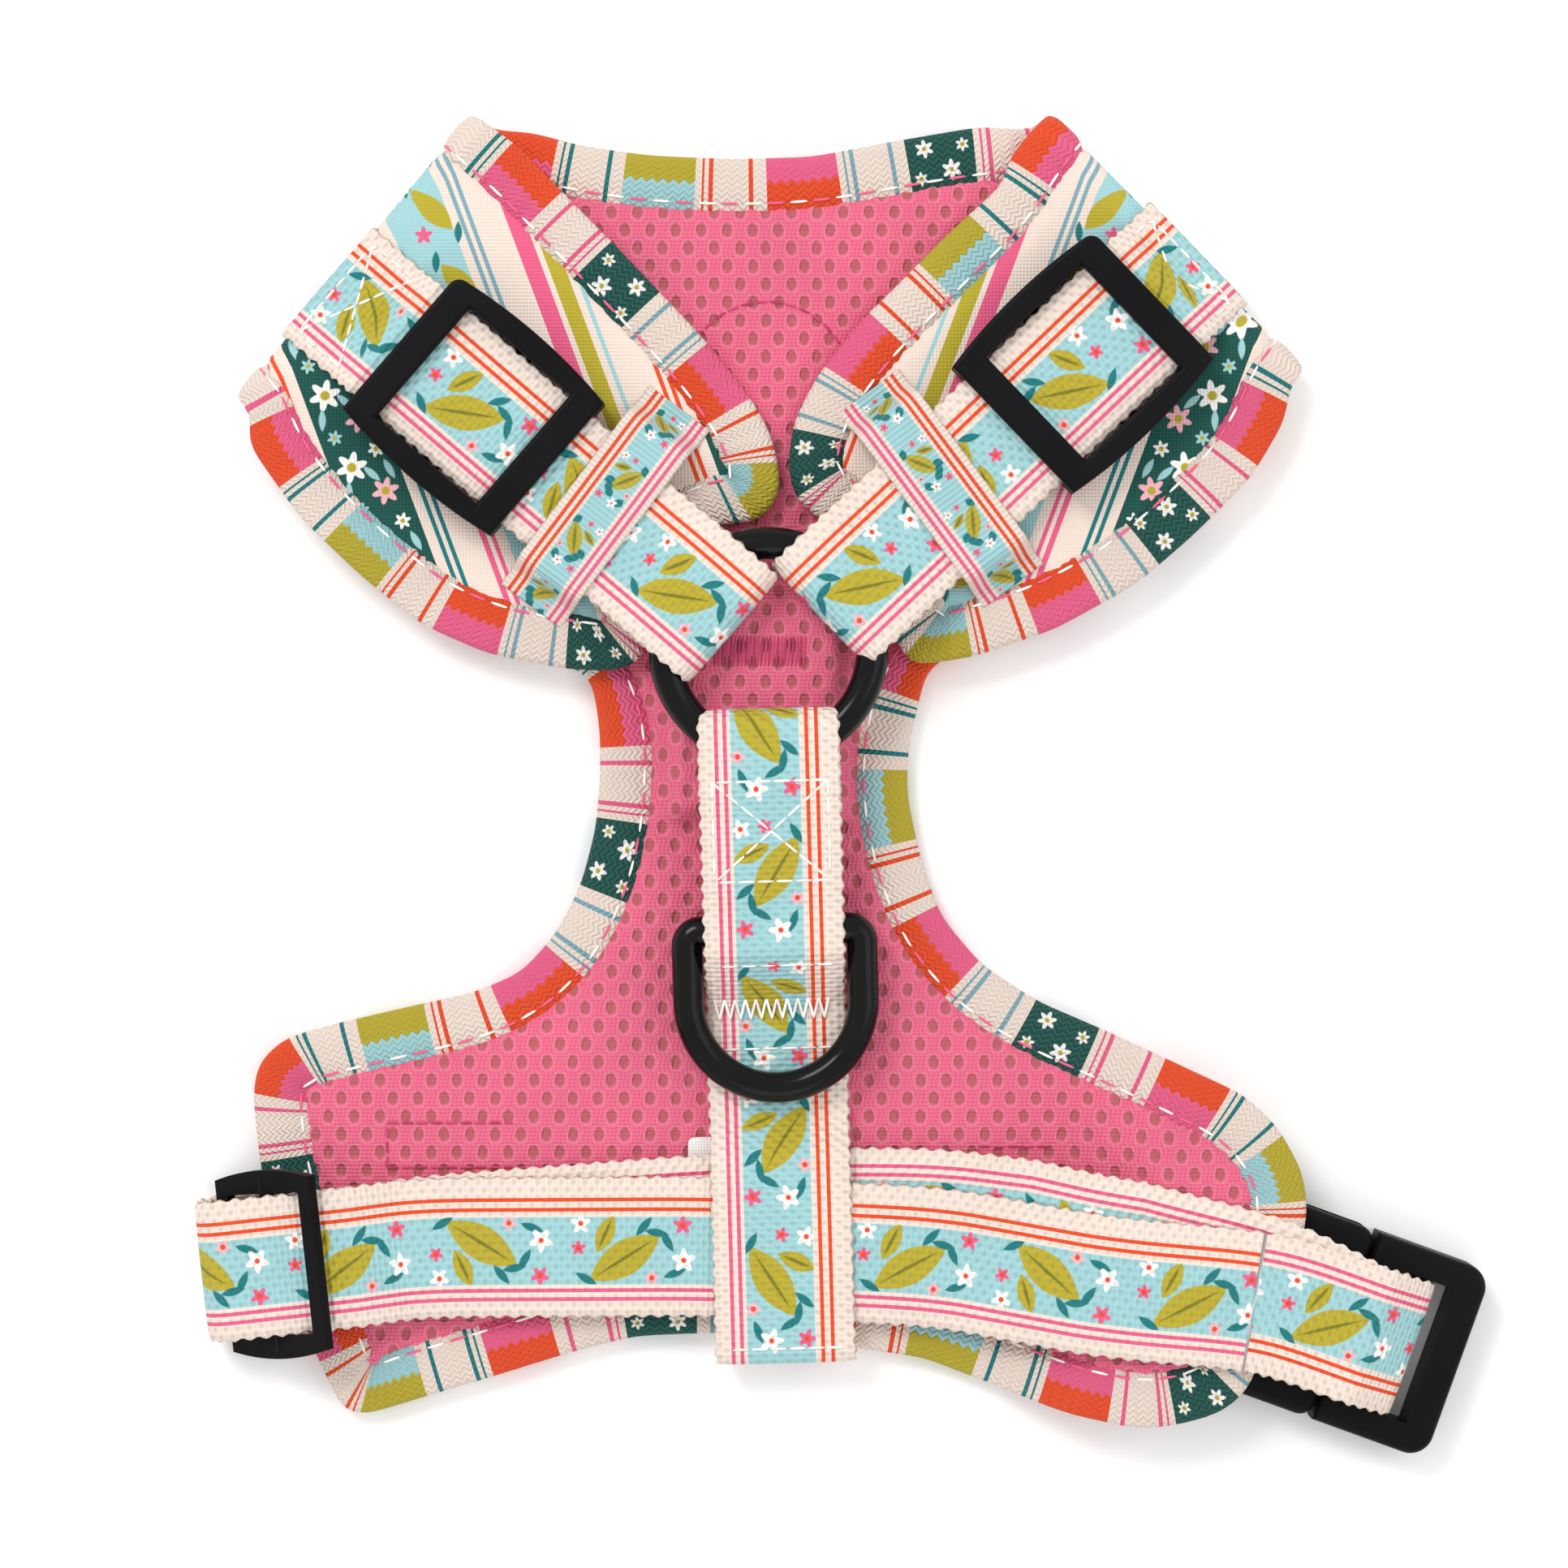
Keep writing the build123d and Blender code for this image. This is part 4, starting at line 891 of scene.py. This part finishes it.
class MakeStage(bpy.types.Operator):
    """Pale floor, soft studio lights and a camera straight above"""

    bl_idname = "harness.stage"
    bl_label = "Stage"

    def execute(self, context):
        cloth = Cloth("studio floor", 0.6)
        pale = (*context.scene.harness_colours.floor, 1.0)
        floor_colour = cloth.mix(cloth.mul(cloth.noise(2.0), 0.04), pale, (0.93, 0.93, 0.94, 1.0))
        x, y = np.meshgrid([-3000.0, 3000.0], [-3000.0, 3000.0], indexing="ij")
        verts = np.column_stack([x.reshape(-1), y.reshape(-1), np.full(4, -0.02)])
        floor = piece("studio_floor", verts, np.array([[0, 2, 3, 1]]), np.zeros((1, 4, 2)),
                      cloth.finish(floor_colour), outward=False)
        world = bpy.data.worlds.new("studio")
        world.use_nodes = True
        world.node_tree.nodes["Background"].inputs[0].default_value = (1.0, 1.0, 1.0, 1.0)
        world.node_tree.nodes["Background"].inputs[1].default_value = 0.84
        context.scene.world = world
        context.scene.view_settings.view_transform = "Standard"
        for name, place, watts, width in (("key", (-0.45, 0.6, 0.9), 5.5, 0.4),
                                          ("fill", (0.7, 0.1, 0.8), 1.6, 0.7),
                                          ("back", (0.0, -0.8, 0.7), 1.0, 0.6)):
            lamp = bpy.data.lights.new(name, "AREA")
            lamp.energy, lamp.size = watts, width
            thing = bpy.data.objects.new(name, lamp)
            thing.location = place
            aim = -np.array(place)
            tilt = np.arctan2(np.hypot(aim[0], aim[1]), -aim[2])
            thing.rotation_euler = (tilt, 0, np.arctan2(aim[1], aim[0]) - np.pi / 2)
            context.scene.collection.objects.link(thing)
        lens = bpy.data.cameras.new("overhead")
        lens.lens, lens.sensor_width = 104.0, 36.0
        lens.clip_start = 0.01
        view = bpy.data.objects.new("overhead", lens)
        view.location = (-0.0085, -0.0003, 0.6492 + 0.006)
        context.scene.collection.objects.link(view)
        context.scene.camera = view
        return {"FINISHED"}


class MakeLining(bpy.types.Operator):
    """Pink mesh lining of the chest panel and of the folded arms"""

    bl_idname = "harness.lining"
    bl_label = "Mesh lining"

    def execute(self, context):
        lining, _ = layer("chest_mesh", -0.7, 1.5, (hole_pitch / 6, hole_row / 5), on_panel, "mesh",
                          dimples=True, puff=sizes().puff)
        settle(lining, root, "air_mesh", "mesh_lining")
        for side, fold in (("left", left_fold), ("right", right_fold)):
            arm, _ = layer(f"{side}_arm_mesh", -0.7, 1.4, (hole_pitch / 3, hole_row / 2), on_arm(fold),
                           "mesh")
            settle(arm, root, "air_mesh")
        return {"FINISHED"}


class MakeFabric(bpy.types.Operator):
    """Printed outer fabric, from under the chest round both folds and over the arms"""

    bl_idname = "harness.fabric"
    bl_label = "Printed fabric"

    def execute(self, context):
        fabric, area = layer("printed_fabric", -1.5, -0.75, (1.0, 1.0), lambda x, y: np.isfinite(x), "fabric")
        settle(fabric, root, "printed_fabric", "panel_fabric")
        return {"FINISHED"}


class MakeBinding(bpy.types.Operator):
    """Rolled binding round the whole edge, with its running stitch"""

    bl_idname = "harness.binding"
    bl_label = "Edge binding"

    def execute(self, context):
        outer, inner = outline, inset(binding_width, 7.0)
        run = np.r_[0, np.cumsum(np.linalg.norm(np.roll(outer, -1, axis=0) - outer, axis=1))]
        swell = sizes().rim_swell
        a = np.linspace(0, 2 * np.pi, 30, endpoint=False)
        t = 0.5 - 0.5 * np.sign(np.cos(a)) * np.abs(np.cos(a)) ** 0.8
        h = np.sign(np.sin(a)) * np.abs(np.sin(a)) ** 0.55 * (swell - 0.25 * eased(t, 0.7, 1.0))
        ripple = 1 + 0.05 * np.sin(2 * np.pi * run[:-1] / 3.1) * np.sin(2 * np.pi * run[:-1] / 23)
        flat = outer[:, None] * (1 - t)[None, :, None] + inner[:, None] * t[None, :, None]
        groove = 0.22 * np.exp(-((t - 0.84) / 0.045) ** 2) * (np.sin(a) > 0)
        height = (h - groove)[None] * ripple[:, None]
        binding = lattice("edge_rim", placed(flat, height), t, run, material("binding"), closed=True)
        settle(binding, root, "binding_knit", "edge_binding")
        rows = []
        for side, level in ((1, swell - 0.42), (-1, swell - 0.2)):
            line = outer * 0.16 + inner * 0.84
            line = np.vstack([line, line[:1]])
            rows.append(placed(line, side * level))
        pairs = [runs_of(row, sizes().stitch_length, 1.0) for row in rows]
        sew("rim_stitching", pairs, sizes().thread_radius, "rim thread", "binding_knit")
        return {"FINISHED"}


class MakeShoulderStraps(bpy.types.Operator):
    """Shoulder straps from the O-ring through their sliders, with their sewn ends"""

    bl_idname = "harness.shoulder_straps"
    bl_label = "Shoulder straps"

    def execute(self, context):
        for side, line in shoulders.items():
            ahead, across = heading_of(line)
            slider, fold = line["slider"], line["fold"] + web_thick / 2
            low, flip = line["keeper"] - elastic_width / 2, side == "left"
            route = [(line["end"], arm_z), (slider + 18.9, arm_z), (slider + 15.3, over_slider_z),
                     (low - 2.4, over_slider_z), (17.7, over_ring_z), (fold, over_ring_z), (fold, loop_z),
                     (17.7, loop_z), (low, cover_z), (slider - 15.6, cover_z)]
            path = along_line(line, route, [0.9, 0.9, 2.0, 2.0, 3.0, 3.0, 2.0, 2.0])
            strap = webbing(f"{side}_shoulder_webbing", path, across, web_width, web_thick,
                            material("webbing"), flip)
            settle(strap, root, "webbing", f"{side}_shoulder_strap")
            route = [(slider - 12.3, cover_z), (slider + 2.65, cover_z), (slider + 2.65, slider_bar_z),
                     (slider - 4.1, slider_bar_z)]
            path = along_line(line, route, [1.19, 1.19], 0.3)
            end = webbing(f"{side}_webbing_end", path, across, end_width, web_thick, material("webbing"),
                          flip, scallop=0.05)
            settle(end, f"{side}_slider", "webbing", f"{side}_strap_sewn_end")
            top = arm_z + web_thick / 2 + 0.02
            pairs = [runs_of(row, 1.7, 0.6) for row in
                     tacks(line, line["end"] - 9.3, line["end"] - 1.6, 8.2, top)]
            pairs.append(zigzag(line, line["end"] - 12.8, line["end"] - 10.6, 8.6, top))
            sew(f"{side}_end_tack", pairs, seam_thread, "white thread", "webbing")
        return {"FINISHED"}


class MakeKeepers(bpy.types.Operator):
    """Elastic keepers over the shoulder straps"""

    bl_idname = "harness.keepers"
    bl_label = "Strap keepers"

    def execute(self, context):
        for side, first, last in (("left", (-23.4, 53.4), (-44.7, 25.1)),
                                  ("right", (3.6, 55.8), (24.3, 28.0))):
            first, last = np.array(first), np.array(last)
            middle, run = (first + last) / 2, last - first
            half = np.linalg.norm(run) / 2
            line = dict(at=middle, heading=np.degrees(np.arctan2(run[1], run[0])), along=0.0)
            route = [(-half, 7.9), (-14.8, 7.9), (-12.6, 13.0), (12.6, 13.0), (14.8, 7.9), (half, 7.9)]
            path = along_line(line, route, [1.4, 1.8, 1.8, 1.4])
            band = webbing(f"{side}_keeper_elastic", path, heading_of(line)[1], elastic_width,
                           elastic_thick, material("keeper"), side == "left", scallop=0.04)
            settle(band, root, "keeper_elastic", f"{side}_strap_keeper")
        return {"FINISHED"}


class MakeBackStrap(bpy.types.Operator):
    """Back strap round the O-ring, over the leash ring's bar and round the girth strap, with its seams"""

    bl_idname = "harness.back_strap"
    bl_label = "Back strap"

    def execute(self, context):
        fold = web_thick / 2
        route = [(49.0, under_z), (17.4, under_z), (12.4, loop_z), (fold, loop_z), (fold, over_ring_z),
                 (11.5, over_ring_z), (28.4, over_dee_z), (34.8, over_dee_z), (42.1, over_z), (59.5, over_z),
                 (64.0, cover_z), (back_length, cover_z), (back_length, under_z), (51.0, under_z)]
        path = along_line(back, route, [2.0, 2.0, 3.0, 3.0, 3.0, 2.5, 2.5, 2.0, 1.5, 1.5, 1.7, 1.7])
        strap = webbing("back_webbing", path, heading_of(back)[1], web_width, web_thick,
                        material("webbing"), start=14.0)
        settle(strap, root, "webbing", "back_strap")
        across = np.linspace(-8.2, 8.2, 12)
        top = lambda at: np.interp(at, [0, 11.5, 28.4, 34.8, 42.1, 59.5, 64.0, 93.3],
                                   [15.5, 15.5, 12.3, 12.3, 6.45, 6.45, 8.85, 8.85])
        lines = [(at + 0 * across, across) for at in (10.4, 24.6, 36.6, 48.7, 91.4)]
        slope = np.linspace(10.4, 24.6, 12)
        lines += [(slope, across), (slope, -across), (slope, 8.2 + 0 * across), (slope, -8.2 + 0 * across)]
        pairs = [runs_of(upon(back, at, side, top(at)), 2.2, 0.5) for at, side in lines]
        pairs.append(zigzag(back, 41.4, 44.4, 7.6, 6.85, 1.5))
        pairs.append(zigzag(back, 44.4, 41.4, 7.6, 6.85, 1.5, 0.75))
        sew("back_seams", pairs, seam_thread, "white thread", "webbing")
        return {"FINISHED"}


class MakeGirthStrap(bpy.types.Operator):
    """Girth strap from under the panel, through its slider, over the back and round the plug's bars"""

    bl_idname = "harness.girth_strap"
    bl_label = "Girth strap"

    def execute(self, context):
        m, p = girth_mark, plug_mark
        turn = m(-91.55)
        route = [(m(-48.0), 0.5), (turn, 0.5), (turn, 10.0), (m(-70.0), 10.0), (m(-63.0), girth_over_z),
                 (m(17.0), girth_over_z), (m(34.0), buckle_over_z), (p + 13.6, buckle_over_z),
                 (p + 20.5, 7.5), (p + 20.5, 1.75), (p + 17.0, 1.75), (p + 17.0, 7.5),
                 (p + 11.6, buckle_under_z), (m(34.0), buckle_under_z), (m(17.0), over_z), (m(-64.5), over_z)]
        radii = [4.0, 4.0, 4.0, 4.0, 8.0, 8.0, 2.5, 2.5, 0.9, 0.9, 1.5, 2.0, 8.0, 8.0]
        path, side = girth_place(route, radii)
        facing_up = np.arange(len(path)) < 0.52 * len(path)
        strap = webbing("girth_webbing", path, side, web_width, web_thick, material("webbing"), facing_up)
        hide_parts("girth_strap", "girth_strap_under_layer", "girth_strap_plug_end")
        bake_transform(strap)
        line = dict(at=(-81.5, -68.965), heading=6.277, along=0.0)
        path = along_line(line, [(11.5, 5.6), (-1.6, 5.6), (-1.6, 8.8), (4.0, 8.8)], [1.57, 1.57], 0.3)
        end = webbing("girth_webbing_end", path, heading_of(line)[1], end_width, web_thick,
                      material("webbing"), scallop=0.05)
        settle(end, "girth_adjuster", "webbing", "girth_strap_sewn_end")
        return {"FINISHED"}


class MakeTabs(bpy.types.Operator):
    """Webbing tabs of the chest ring and of the buckle socket, the plain patch and the care label"""

    bl_idname = "harness.tabs"
    bl_label = "Tabs, patch and label"

    def execute(self, context):
        line = dict(at=(-12.5, 14.0), heading=-90.0, along=0.0)
        route = [(-13.0, 3.18), (-6.0, 3.18), (-2.4, 0.45), (2.1, 0.45), (2.1, 4.65), (-13.0, 4.65)]
        path = along_line(line, route, [1.0, 1.5, 2.05, 2.05], 0.3)
        tab = webbing("chest_ring_tab", path, heading_of(line)[1], tab_width, web_thick,
                      material("webbing"), scallop=0.05)
        settle(tab, root, "webbing", "front_ring_tab")
        line = dict(at=buckle_tip, heading=buckle_heading, along=buckle_end)
        route = [(38.0, 0.47), (56.9, 0.47), (60.9, 1.75), (66.65, 1.75), (66.65, 5.65), (60.9, 5.65),
                 (55.4, 3.0)]
        path = along_line(line, route, [2.0, 2.0, 0.8, 0.8, 2.0], 0.3)
        tab = webbing("socket_tab", path, heading_of(line)[1], web_width, web_thick,
                      material("webbing"), scallop=0.05)
        settle(tab, root, "webbing", "socket_webbing_tab")
        for name, centre, half, z, thick, cloth, slot, node in (
            ("plain_patch", (-11.2, 57.5), (11.3, 11.3), 0.8, 0.36, "patch", "plain_patch", "blank_patch"),
            ("care_tape", (-15.3, -55.5), (7.0, 4.5), 4.45, 0.2, "label", "label_cloth", "care_label"),
        ):
            a = np.linspace(0, 2 * np.pi, 48, endpoint=False)
            power = 0.9 if name == "plain_patch" else 0.16
            rim = np.column_stack([np.sign(np.cos(a)) * np.abs(np.cos(a)) ** power * half[0],
                                   np.sign(np.sin(a)) * np.abs(np.sin(a)) ** power * half[1]])
            rings = [(0.02, -0.5), (1.0, -0.5), (1.0, 0.5), (0.97, 0.5), (0.6, 0.5), (0.02, 0.5)]
            grid = np.stack([np.column_stack([np.array(centre) + rim * k, np.full(48, z + h * thick)])
                             for k, h in rings])
            if name == "care_tape":
                grid[..., 2] += 0.12 * np.sin(grid[..., 0] * 0.5) * np.cos(grid[..., 1] * 0.6)
            flat = lattice(name, grid, np.zeros(48), np.arange(6.0), material(cloth))
            settle(flat, root, slot, node)
        return {"FINISHED"}


class MakeSeams(bpy.types.Operator):
    """Rose stitching on the mesh: the arched seam, the dense bar-tack and two box seams"""

    bl_idname = "harness.seams"
    bl_label = "Seams on the mesh"

    def execute(self, context):
        a = np.linspace(np.radians(12), np.radians(168), 40)
        arch = np.column_stack([-11.0 - 12.0 * np.cos(a), 57.2 + 11.8 * np.sin(a)])
        half = np.linspace(-1, 1, 12)
        seams = [(-56.5, 9, -49.0, 0), (-56.5, 9, -55.4, 0), (-65.5, 0, -52.2, 3.2), (24.5, 5, -52.4, 0),
                 (19.5, 0, -55.5, 3)]
        rows = [arch] + [np.column_stack([x + dx * half, y + dy * half]) for x, dx, y, dy in seams]
        pairs = [runs_of(placed(evenly(row, 0.8), 1.5 + sizes().puff), 1.6, 0.5) for row in rows]
        across = np.arange(-6.4, 6.4, 0.55)
        lift = pad_rise + 4.0 + sizes().puff
        start = np.column_stack([-12.0 + across, np.full(across.shape, 16.6), np.full(across.shape, lift)])
        pairs.append((start, start + [0.3, 4.2, 0]))
        sew("mesh_seams", pairs, seam_thread, "rose thread", "air_mesh")
        return {"FINISHED"}


class FinishHardware(bpy.types.Operator):
    """Black plastic and glossy wire on the buckle, sliders and rings"""

    bl_idname = "harness.hardware"
    bl_label = "Hardware finishes"

    def execute(self, context):
        for node in ("left_strap_slider", "right_strap_slider", "girth_slider", "buckle_socket",
                     "buckle_plug", "upper_buckle_prong", "lower_buckle_prong"):
            self.coat(node, "plastic")
        for node in ("o_ring", "back_dee_ring", "front_dee_ring"):
            self.coat(node, "wire")
        return {"FINISHED"}

    def coat(self, node, name):
        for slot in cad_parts[node].material_slots:
            slot.material = material(name)


class HarnessPanel(bpy.types.Panel):
    """Buttons that make each part of the harness"""

    bl_idname = "VIEW3D_PT_harness"
    bl_label = "Harness"
    bl_space_type = "VIEW_3D"
    bl_region_type = "UI"
    bl_category = "Harness"

    def draw(self, context):
        for group, names in ((context.scene.harness_sizes, HarnessSizes.__annotations__),
                             (context.scene.harness_colours, HarnessColours.__annotations__)):
            for name in names:
                self.layout.prop(group, name)
        for maker in operators:
            self.layout.operator(maker.bl_idname)


operators = (MakeStage, MakeLining, MakeFabric, MakeBinding, MakeShoulderStraps, MakeKeepers, MakeBackStrap,
             MakeGirthStrap, MakeTabs, MakeSeams, FinishHardware)
classes = (HarnessSizes, HarnessColours, *operators, HarnessPanel)


def register():
    for item in classes:
        bpy.utils.register_class(item)
    bpy.types.Scene.harness_sizes = PointerProperty(type=HarnessSizes)
    bpy.types.Scene.harness_colours = PointerProperty(type=HarnessColours)


def unregister():
    del bpy.types.Scene.harness_colours
    del bpy.types.Scene.harness_sizes
    for item in reversed(classes):
        bpy.utils.unregister_class(item)


def main():
    register()
    for maker in operators:
        group, name = maker.bl_idname.split(".")
        getattr(getattr(bpy.ops, group), name)()


if __name__ == "__main__":
    main()
